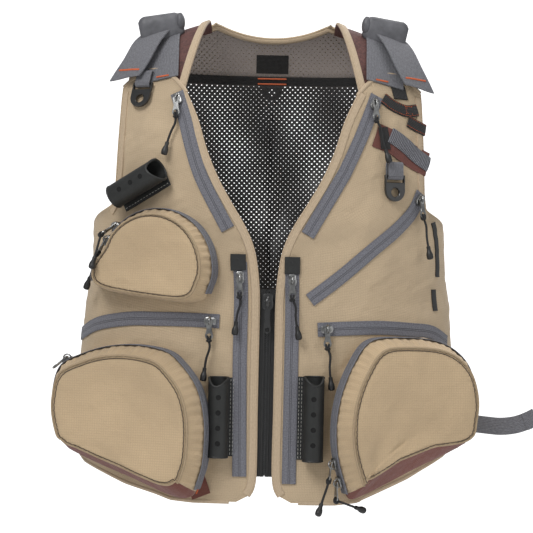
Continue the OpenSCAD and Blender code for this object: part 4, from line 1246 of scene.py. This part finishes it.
# Slider's place, the next point of its zip, then the cord's drop and drift, and the pull's lean
stops = {
    "front": [[0, -322], [0, -350]],
    "right_chest": [[-102, -102], [-95, -121], 32, -9],
    "left_chest": [[111.5, -103], [105, -120], 35, 11, 5],
    "right_edge": [[-30.5, -296], [-29, -330], 30, -3],
    "left_edge": [[26.3, -298], [27, -330], 32, 6],
    "right_slash": [[-62, -344], [-85, -343], 33, -4],
    "left_slash": [[65, -350.4], [91, -349], 34, 4],
    "left_slant": [[162.5, -206], [152, -226], 34, 4, 9],
}
cord_route = np.array([
    [0, 0], [0.5, 2.5], [1.2, 5], [1.8, 7.5], [2.1, 10], [2, 12.5], [1.6, 15], [1.1, 17.5],
    [0.6, 20], [0.3, 22.5], [0.1, 25], [0, 27.5], [-0.1, 30], [0, 32.5], [0, 35]])
tab_l, tab_w, cord_r = 16.0, 7.4, 1.3
cord_start = tab_l + tab_w / 2 - 0.6


def pull_frame(pivot, down, normal):
    """Frame of a pull: its pin, then level, up along the pull, and outwards."""
    v = -unit(down)
    w = unit(normal - v * (normal @ v))
    return [pivot, np.cross(v, w), v, w]


def stop_frame(stop, top=tape_o + tape_t):
    """Frame of a hanging pull, leaning off the front by its lean over 60."""
    (x, z), lift = stop[0], top + 1 + 2.8 + 2
    lean = stop[4] if len(stop) > 4 else pull_lean
    pivot = point(x, z, lift)
    return pull_frame(pivot, point(x, z - 60, lift + lean) - pivot, front_normal(float(x), float(z)))


def slider_chunks(f, bridge, by=1.0):
    """Slider: a body waisted towards its tail, a raised cap, and a humped loop for the pull."""
    w, l = 9 * by / 2, 13 * by / 2
    out = smooth_loop([[-w * 0.72, -l], [w * 0.72, -l], [w * 0.9, -l * 0.3], [w, l * 0.35],
                       [w * 0.72, l * 0.85], [0, l], [-w * 0.72, l * 0.85], [-w, l * 0.35],
                       [-w * 0.9, -l * 0.3]], 40)
    rings = [(0.9, 0.0), (1.0, 0.5), (1.0, 1.0), (0.86, 1.3), (0.86, 1.6), (1.0, 1.8), (1.0, 2.5), (0.9, 2.8)]
    grid = np.stack([np.column_stack([out * k, np.full(40, h)]) for k, h in rings])
    a = np.linspace(-0.1, np.pi + 0.1, 15)
    path = in_frame(bridge, np.stack([0 * a, 4.6 * np.cos(a) * by, -2.4 + 5.4 * np.sin(a)], axis=1))
    up = np.cross(along(path), np.tile(bridge[1], (15, 1)))
    return [tube(in_frame(f, grid)), carry(strip_profile(2.6 * by, -0.6, 1.2, 4, 0.3), path, up)]


def tab_chunks(f, length=16.0, width=8.8, thick=1.4, eye=2.5):
    """Flat tab: square shoulders, a waist, and a round lower end with an eye in it."""
    w = width / 2
    c = np.array([0, -length])
    side = [[w * 0.80, 1.6], [w * 0.95, 0.4], [w * 0.95, -1.8], [w * 0.70, -4.2], [w * 0.60, -length * 0.45],
            [w * 0.80, -length + 4.6], [w * 1.0, -length + 1.2]]
    low = [c + w * np.array([np.cos(a), np.sin(a)]) for a in np.linspace(-0.15, -np.pi + 0.15, 9)]
    out = np.array(side + [list(p) for p in low] + [[-x, y] for x, y in side[::-1]])
    out, want = rays(c, smooth_loop(out, 120), 56)
    hole = c + eye * np.stack([np.cos(want), np.sin(want)], axis=1)
    return [ring_plate(out, hole, thick, 0.3, f, c)]


def knot_chunks(f):
    """Lark's head through the eye: two turns of the cord round the tab's lower rim, and a wrap."""
    a = round_turn(16)
    rim = -tab_l - tab_w / 2
    chunks = []
    for side in (-1, 1):
        path = np.stack([side * 1.25 + 0.35 * side * np.cos(a), rim + 0.4 + 2.9 * np.cos(a),
                         1.9 * np.sin(a)], axis=1)
        chunks.append(carry(round_profile(1.1, 8), in_frame(f, path), np.tile(f[1], (16, 1)), True))
    wrap = np.stack([2.3 * np.cos(a), rim - 1.6 + 0.3 * np.sin(2 * a), 1.8 * np.sin(a)], axis=1)
    chunks.append(carry(round_profile(1.15, 8), in_frame(f, wrap), np.tile(f[2], (16, 1)), True))
    return chunks


def cord_line(drop, drift, out=0.0):
    """The cord's route, drawn out to a drop and leaning evenly by a drift and outwards."""
    s = cord_route[:, 1] / 35
    return np.stack([cord_route[:, 0] + drift * s, -cord_start - drop * s, out * s], axis=1)


def make_pull(name, f, drop, drift, out=0.0):
    """Nickel tab, its cord with a knot at the eye, and a bottle-shaped moulded grip."""
    body = f"{name}_pull"
    piece(f"{name}_tab", tab_chunks(f), M["nickel"], body, [body])
    line = in_frame(f, cord_line(drop, drift, out))
    fine = curve(line, 3)
    braided = carry(round_profile(cord_r, 12), fine, np.tile(f[3], (len(fine), 1)))
    made = piece(f"{name}_cord_line", [braided], M["cord"], body, [f"{name}_cord"])
    knot = piece(f"{name}_knot", knot_chunks(f), M["cord"], body)
    way = unit(np.array([drift, -drop, out], float))
    end = np.array([drift, -cord_start - drop, out], float)
    s = np.array([-1.5, -1.2, 0.5, 2.0, 3.5, 5.0, 6.5, 8.0, 10.0, 12.0, 13.0, 13.5])
    r = np.array([1.7, 2.2, 2.3, 2.2, 2.4, 2.9, 3.4, 3.7, 3.75, 3.6, 3.0, 1.8])
    path = in_frame(f, end + s[:, None] * way)
    bottle = carry(round_profile(1.0, 20), path, np.tile(f[3], (len(s), 1)), scale=r)
    grip = piece(f"{name}_grip", [bottle], M["grip"], body)


def make_flat_pulls():
    """Sliders and pulls of the zips on the front: each slider turned along its zip."""
    for name, stop in stops.items():
        front_one = name == "front"
        top, by = (1.2, 1.35) if front_one else (tape_o + tape_t, 1.0)
        metal, kind = ("black_metal", "black_metal") if front_one else ("nickel", "slider_metal")
        (x, z), ahead = stop[:2]
        n = front_normal(float(x), float(z))
        at = point(x, z, top + 1)
        across = unit(np.cross(point(*ahead, 0) - at, n))
        bridge = stop_frame(stop, top)
        piece(f"{name}_slider_body", slider_chunks([at, across, np.cross(n, across), n], bridge, by),
              M[metal], f"{name}_slider", [f"{name}_slider"])
        if front_one:
            piece("front_tab", tab_chunks(bridge, 30, 8.4, 1.6, 2.3), M[metal], "front_pull",
                  ["front_pull"])
        else:
            make_pull(name, bridge, *stop[2:4])


# ---------- pockets ----------
pocket_turn = math.radians(21)
wall_rows, side_rows, face_rows = 12, 14, 26
# Point of the mouth's plane, side, the mouth arc's centre and radius, point the wall draws in to, depth of
# the lid, middle of the face, and how far the face's lower edge is raised over a slanting bottom
Pocket = namedtuple("Pocket", "origin side arc_middle arc_radius drawn_to depth face_middle raised")
pockets = {
    "right": Pocket([-146, -118, -450], -1, [0, -74], 152, [-10, -62], 31, [-6, -14],
                    [[-95, 3], [-60, 8], [60, 8]]),
    "left": Pocket([150, -120.4, -450], 1, [67, -10], 148, [14, -44], 31, [14, 8],
                   [[-66, 13], [-20, 20], [30, 15], [80, 1]]),
    "upper": Pocket([-125, -115, -280], -1, [5.4, -8], 66, [2, -30], 24, [0, 2], [[-70, 0], [70, 0]]),
}


def pocket_axes(p):
    """Level direction along a pocket's mouth, and the direction it faces, turned to the side."""
    turned = p.side * math.sin(pocket_turn)
    return (np.array([math.cos(pocket_turn), turned, 0]), np.array([turned, -math.cos(pocket_turn), 0]))


def pocket_at(p, q, w):
    """Points at q on the mouth's plane and w in front of it."""
    u, out = pocket_axes(p)
    q = np.asarray(q, float)
    return (np.array(p.origin, float) + q[..., :1] * u + q[..., 1:2] * np.array([0, 0, 1.0])
            + np.asarray(w, float)[..., None] * out)


def arc(p, a, b, steps):
    """Points of the mouth's arc between two angles."""
    t = np.radians(np.linspace(a, b, steps + 1))
    return [[p.arc_middle[0] + p.arc_radius * math.cos(k), p.arc_middle[1] + p.arc_radius * math.sin(k)]
            for k in t]


def outline(name, n=220):
    """A pocket's mouth: its slider's arc, and a smooth curve through the other points."""
    p = pockets[name]
    rest = {
        "right": lambda: arc(p, 124, 74, 4) + [[60, 59], [78, 36], [87, 8], [89, -24], [84, -60], [64, -87],
                                               [-4, -66], [-58, -47], [-80, -35], [-91, -10], [-94, 20]],
        "left": lambda: [[74, -24.6], [16, -52], [-45, -80], [-62, -83]] + arc(p, 203, 152, 4)
        + [[-45, 86], [-15, 92], [38, 88], [71, 68], [85, 36], [85, 4]],
        "upper": lambda: arc(p, 162, 2, 8) + [[68, -24], [54, -43], [8, -42], [-62, -31], [-72.5, -11]],
    }[name]()
    return smooth_loop(rest, n)


def lower_share(p, q):
    """Outward direction of an outline at each point, and 1 where it faces down, on the sewn lower edge."""
    level = np.roll(q, -1, axis=0) - np.roll(q, 1, axis=0)
    outward = unit(np.stack([level[:, 1], -level[:, 0]], axis=1))
    outward = outward * np.sign((outward * (q - np.array(p.face_middle, float))).sum())
    return outward, ease((-outward[:, 1] - 0.35) / 0.3)


def dye(made, rows, cols, marked):
    """Second cloth on marked squares of a piece's first sheet."""
    made.data.materials.append(M["maroon"])
    index = np.zeros(len(made.data.polygons), np.int32)
    index[:(rows - 1) * cols] = marked.ravel()
    made.data.polygons.foreach_set("material_index", index)


def foot_ring(m):
    """Ring of a pocket's foot on the body behind points of its mouth, drawn in round the body's side."""
    x = np.where(np.abs(m[:, 0]) < 188, m[:, 0], np.sign(m[:, 0]) * mix(188, np.abs(m[:, 0]), 0.36))
    return front(x, m[:, 2], np.full(len(x), shell_t + lie))


def make_pockets():
    """Pockets: cloth walls in straight lines from the body to the mouth, creased by crossed sines where
    they are pressed together, coil tapes on both sides of the mouth, and the lids.
    """
    for name, p in pockets.items():
        q = outline(name)
        n = len(q)
        run = run_of(np.vstack([q, q[0]]))[:-1]
        out = unit(q - np.array(p.drawn_to, float))
        u, _ = pocket_axes(p)
        outward = out[:, :1] * u + out[:, 1:] * [0, 0, 1]
        t = np.linspace(0, 1, wall_rows)[:, None]
        crease = ((0.9 * np.sin(run / 9 + 2 * np.sin(run / 31)) + 0.5 * np.sin(run / 3.7))[None]
                  * np.sin(np.pi * t))
        walls = []
        for thick in (0, 1.6):
            drawn = q + unit(np.array(p.drawn_to, float) - q) * thick
            foot = foot_ring(pocket_at(p, drawn, np.zeros(n)))
            mouth = pocket_at(p, drawn, np.full(n, -0.5))
            walls.append(mix(foot, mouth, t[..., None]) + outward * crease[..., None])
        uv = np.stack(np.broadcast_arrays(run[None], t * 30), axis=-1) * MM
        made = piece(f"{name}_pocket_wall", [slab(*walls, uv, True)], M["pocket"], "vest",
                     [f"{name}_pocket_base"])
        bottom = lower_share(p, q)[1]
        if name != "upper":
            dye(made, wall_rows, n, np.ones((wall_rows - 1, 1), bool) & (bottom > 0.5)[None])
        # Tapes run where the outline isn't sewn
        first = int(np.argmax((bottom < 0.5) & (np.roll(bottom, 1) >= 0.5)))
        zipped = (first + np.arange(int((bottom < 0.5).sum()))) % n
        for level, body, w in (("low", "vest", -4.6), ("high", f"{name}_lid", 4.6)):
            path = pocket_at(p, q + out * 0.15, np.full(n, w))[zipped]
            tape = carry(strip_profile(8, -0.2, 0.8, 6, 0.1), path, outward[zipped])
            piece(f"{name}_mouth_tape_{level}", [tape], M["tape"], body)
        make_lid(name, p, q, run)
    corner = front_strip([[-62, -521], [-70, -524], [-82, -529]], 24, tape_o, 1.0, 0.3)
    piece("maroon_corner", [corner], M["maroon"], "vest")


def let_out(grid, held, push=4.0):
    """Sheet let out by air as cloth for twenty frames, held in the given rows; the move is kept short.

    Every second row and column is simulated, and its move is spread over the full grid.
    """
    small = grid[::2, ::2] * MM
    rows, cols = small.shape[:2]
    mesh = bpy.data.meshes.new("let_out")
    mesh.from_pydata(small.reshape(-1, 3).tolist(), [], grid_quads(rows, cols, True).tolist())
    made = bpy.data.objects.new("let_out", mesh)
    bpy.context.scene.collection.objects.link(made)
    group = made.vertex_groups.new(name="sewn")
    group.add([int(r // 2 * cols + c) for r in held for c in range(cols)], 1.0, "ADD")
    cloth = made.modifiers.new("air", "CLOTH")
    cloth.settings.quality = 6
    cloth.settings.mass = 0.12
    cloth.settings.tension_stiffness = 20
    cloth.settings.compression_stiffness = 20
    cloth.settings.bending_stiffness = 2.0
    cloth.settings.vertex_group_mass = "sewn"
    cloth.settings.use_pressure = True
    cloth.settings.uniform_pressure_force = push
    cloth.settings.effector_weights.gravity = 0
    cloth.point_cache.frame_start, cloth.point_cache.frame_end = 1, 20
    for frame_now in range(1, 21):
        bpy.context.scene.frame_set(frame_now)
    seen = made.evaluated_get(bpy.context.evaluated_depsgraph_get())
    after = np.empty(rows * cols * 3)
    seen.data.vertices.foreach_get("co", after)
    bpy.context.scene.frame_set(1)
    bpy.data.objects.remove(made)
    move = after.reshape(rows, cols, 3) / MM - grid[::2, ::2]
    far = np.linalg.norm(move, axis=-1, keepdims=True)
    move = move * np.minimum(1, 7.0 / np.maximum(far, 1e-6))
    r, c = np.arange(len(grid)) / 2, np.arange(grid.shape[1]) / 2
    low, left = np.minimum(r.astype(int), rows - 1), c.astype(int)
    high, right = np.minimum(low + 1, rows - 1), (left + 1) % cols
    fr, fc = (r - low)[:, None, None], (c - left)[None, :, None]
    return mix(mix(move[low][:, left], move[low][:, right], fc),
               mix(move[high][:, left], move[high][:, right], fc), fr)


def make_lid(name, p, q, run):
    """Lid: a side puckered by its seams, a slanting maroon bottom, a piped seam, and a face let out by
    what it holds. One sheet runs from the mouth over the side (side_rows) to the face's middle (face_rows).
    """
    depth, middle = p.depth, np.array(p.face_middle, float)
    n = len(q)
    outward, bottom = lower_share(p, q)
    rise = bottom * table(q[:, 0], p.raised)

    def side_ring(s):
        return q + (middle - q) * 0.12 * s ** 1.5 + np.stack([0 * rise, rise * s], axis=1)

    rows = []
    for s in np.linspace(0, 1, side_rows):
        pucker = (1.1 * np.sin(run * 2 * np.pi / 9.5 + 2 * np.sin(run / 23)) + 0.7 * np.sin(run / 5.1)
                  ) * math.sin(math.pi * s) * (1 - 0.7 * bottom)
        rows.append(pocket_at(p, side_ring(s) + outward * (pucker * 0.8)[:, None],
                              np.full(n, mix(0.5, depth * 0.93, s))))
    edge = side_ring(1.0)
    for s in np.linspace(0.04, 0.985, face_rows):
        ring = mix(edge, middle, s)
        hills = (soft_noise(ring[:, 0], ring[:, 1], 58, 11) * 1.6 * ease(s * 4)
                 + soft_noise(ring[:, 0], ring[:, 1], 23, 12) * 0.6)
        seam = 0.8 * np.sin(run * 2 * np.pi / 7.5 + np.sin(run / 19)) * math.exp(-(s / 0.09) ** 2)
        rows.append(pocket_at(p, ring, depth * (0.93 + 0.12 * min(1, s * 2.2) ** 0.6) + hills + seam))
    grid = np.stack(rows)
    grid = grid + let_out(grid, [0, side_rows])
    # The face's rows are evened along their length, more towards its middle, so that no crease crosses it
    for row in range(side_rows + 1, len(grid)):
        for _ in range(2 * (row - side_rows)):
            grid[row] = (np.roll(grid[row], 1, 0) + 2 * grid[row] + np.roll(grid[row], -1, 0)) / 4
    u, face = pocket_axes(p)
    round_it = np.roll(grid, -1, axis=1) - np.roll(grid, 1, axis=1)
    normal = unit(np.cross(np.gradient(grid, axis=0), round_it))
    normal = normal * np.sign((normal[20] @ face).mean())
    inner = grid - normal * 1.4
    local = (grid - np.array(p.origin)) @ np.stack([u, [0, 0, 1]]).T
    side_uv = np.stack(np.broadcast_arrays(run[None], np.linspace(0, 32, side_rows)[:, None]), axis=-1)
    cup = slab(grid, inner, np.concatenate([side_uv, local[side_rows:]]) * MM, True)
    body, shell = f"{name}_lid", "shell_fabric"
    # The last ring is closed by a small cap, so that the sheet has no hole
    made = piece(f"{body}_cloth", [cup, tube(np.stack([inner[-1], grid[-1]]))], M["pocket"], body,
                 [f"{name}_pocket_lid"])
    if name != "upper":
        dye(made, len(grid), n, (np.arange(len(grid) - 1)[:, None] < side_rows - 1) & (bottom > 0.5)[None])
    upright = np.tile(face, (n, 1))
    edge, face_edge = side_rows - 1, side_rows
    piece(f"{body}_piping", [carry(round_profile(1.25, 10), grid[edge] + normal[edge] * 0.4, upright, True)],
          M["piping"], body)
    # A thin dark cord where the face meets the piping: a line of painted shadow in the seam's groove
    piece(f"{body}_seam", [carry(round_profile(0.55, 6), grid[face_edge] + normal[face_edge] * 0.1, upright,
                                 True)], M["seam"], body)
    line = grid[face_edge]
    piece(f"{body}_stitches", [stitches(np.vstack([line, line[:1]]), np.vstack([upright, upright[:1]]), -2.2,
                                        thick=0.26)], M["khaki_thread"], body)


# Pocket, the slider's angle on its arc, way the pull hangs (along the mouth, up, outwards), then the
# cord's drop, drift and lean
arc_stops = {
    "right_pocket": ["right", 121, [-0.75, -0.62, 0.1]],
    "left_pocket": ["left", 193.5, [-0.3, -0.95, 0.4], 30, 2, 5],
    "left_end": ["left", 201.4, [0.05, -0.98, -0.08], 11.5, -7.5, -27.5],
    "upper_pocket": ["upper", 139, [-0.62, -0.6, 0.62], 24, 1, -18.5],
    "upper_end": ["upper", 154, [-0.56, -0.84, -0.12], 30, 0, -6],
}


def make_arc_pulls():
    """Sliders on the pockets' arcs, with the same tabs and cords."""
    for name, stop in arc_stops.items():
        p = pockets[stop[0]]
        u, face = pocket_axes(p)
        a = math.radians(stop[1])
        radial = u * math.cos(a) + np.array([0, 0, math.sin(a)])
        middle = pocket_at(p, np.array(p.arc_middle, float), np.array(0.0))
        at = lambda lift: middle + radial * (p.arc_radius + lift)
        way = u * stop[2][0] + np.array([0, 0, stop[2][1]]) + face * stop[2][2]
        bridge = pull_frame(at(1.5 + 2.8 + 2), way, radial)
        f = [at(1.5), face, np.cross(radial, face), radial]
        slider = f"{name}_slider"
        rides = {"left_end": "vest", "upper_end": "upper_lid"}.get(name, slider)
        piece(f"{slider}_body", slider_chunks(f, bridge), M["nickel"], rides, [slider])
        if name == "right_pocket":
            piece("right_pocket_tab", tab_chunks(bridge), M["nickel"], "right_pocket_pull",
                  ["right_pocket_pull"])
        else:
            make_pull(name, bridge, *stop[3:])


# ---------- tool tubes ----------
def rubber_tube(f, length, r, flange_side, notch):
    """Tube with a notched upper mouth, lower on its outer side by a power of 1.5; a flange runs along it."""
    wall = 1.8
    a = round_turn(48)
    facing = np.cos(a - np.pi / 2)
    top = length / 2 - notch * np.maximum(0, facing) ** 1.5 * (1 - 0.5 * np.cos(a) * flange_side)
    y = mix(-length / 2, top[None], np.linspace(0, 1, 40)[:, None])
    ring = lambda k: np.stack(np.broadcast_arrays(np.cos(a)[None] * k, y, r + np.sin(a)[None] * k), axis=-1)
    uv = np.stack(np.broadcast_arrays(a[None] * r, y), axis=-1) * MM
    chunks = [slab(in_frame(f, ring(r)), in_frame(f, ring(r - wall)), uv, True)]
    # Raised rim at both mouths
    for k in (0, -1):
        rim = in_frame(f, ring(r - wall / 2)[k])
        chunks.append(carry(round_profile(1.3, 8), rim, np.tile(f[2], (48, 1)), True))
    low = 0.3 * r * flange_side
    far = low + 14 * flange_side
    chunks.append(block(f, (min(low, far), -length / 2, 0.1), (max(low, far), length / 2, 1.8), 0.5))
    return chunks


def vents(f, r, ys):
    """Vents: dished discs of near-black painted shade in the outer side, standing in for the shadowed insides
    of the openings.
    """
    a = np.arange(16) * 2 * np.pi / 16
    rings = [(2.9, -0.4), (2.9, 0.25), (2.5, 0.45), (2.2, 0.3)]
    return [tube(in_frame(f, np.stack([np.stack(
        [k * np.cos(a), y + k * np.sin(a), np.full(16, 2 * r + h - 0.25)], axis=1) for k, h in rings])))
        for y in ys]


def flange_stitch(f, x, reach, count):
    """White stitched line along a tube's flange."""
    line = in_frame(f, [[x, k, 2.0] for k in np.linspace(-reach, reach, count)])
    return stitches(line, np.tile(f[3], (count, 1)), 0, 2.6, 1.6, 0.3)


def make_tool_tubes():
    """Two upright tubes beside the centre zip, and one turned aslant over the upper pocket."""
    chunks, vent_shade_discs, sewn = [], [], []
    upright_r, slanting_r = 11.5, 13.5
    for x, z, length in ((-51, -448, 86), (52, -448, 91)):
        f = surface_frame(point(x, z, tape_o + 0.3), np.array([0, -1.0, 0]))
        side = -int(math.copysign(1, x))
        chunks += rubber_tube(f, length, upright_r, side, 9)
        vent_shade_discs += vents(f, upright_r, np.linspace(-28, 22, 4))
        sewn += [flange_stitch(f, side * (0.3 * upright_r + y), length / 2 - 3, 30) for y in (9.5, 12.5)]
    f = surface_frame(point(-138, -195, shell_t + 2.5), front_normal(-138.0, -195.0))
    turn = math.radians(28 - 90)
    level = f[1] * math.cos(turn) + f[2] * math.sin(turn)
    f = [f[0], level, np.cross(f[3], level), f[3]]
    chunks += rubber_tube(f, 64, slanting_r, 1, 8)
    vent_shade_discs += vents(f, slanting_r, [-16, 0, 14])
    sewn.append(flange_stitch(f, 15, 29, 24))
    piece("rubber_tool_tubes", chunks, M["rubber"], "vest", ["tool_tubes"])
    # The vents are discs of painted shade where the openings would be dark inside
    piece("tube_vent_shade_discs", vent_shade_discs, M["hole"], "vest")
    piece("tube_stitches", sewn, M["white_thread"], "vest")


def make_room():
    """Pale floor below the vest, and a wide bright dome round the whole room that lights nothing."""
    lit = Look("bright_paper", 0.9)
    lit.shader.inputs["Emission Color"].default_value = (1, 1, 1, 1)
    lit.shader.inputs["Emission Strength"].default_value = 0.94
    paper = lit.done(lit.paint(lit.noise(3, 2), (0.3, (0.8, 0.8, 0.8)), (0.7, (0.85, 0.85, 0.85))))
    turn, rise = np.linspace(0, 2 * np.pi, 33)[None, :-1], np.linspace(-1.5, 1.5, 17)[:, None]
    paper_dome = 7 * np.stack(np.broadcast_arrays(
        np.cos(rise) * np.cos(turn), np.cos(rise) * np.sin(turn), np.sin(rise)), axis=-1)
    for name, corners, faces, look in (
            ("floor", [(-3, -3, -1), (3, -3, -1), (3, 3, -1), (-3, 3, -1)], [(0, 1, 2, 3)], floor_look()),
            ("backdrop", paper_dome.reshape(-1, 3).tolist(), grid_quads(17, 32, True)[:, ::-1].tolist(),
             paper)):
        mesh = bpy.data.meshes.new(name)
        mesh.from_pydata(corners, [], faces)
        mesh.materials.append(look)
        made = bpy.data.objects.new(name, mesh)
        if name == "backdrop":
            made.visible_diffuse = made.visible_glossy = False
            made.visible_shadow = made.visible_transmission = False
        bpy.context.scene.collection.objects.link(made)


def main():
    for make in (make_camera, make_flat_pulls, make_arc_pulls, make_fronts, make_back, make_net, make_pockets,
                 make_zips, make_front_zip, make_bindings, make_yokes, make_straps, make_side_straps,
                 make_trim, make_rings, make_locks, make_tool_tubes, make_lights, make_room):
        make()


main()
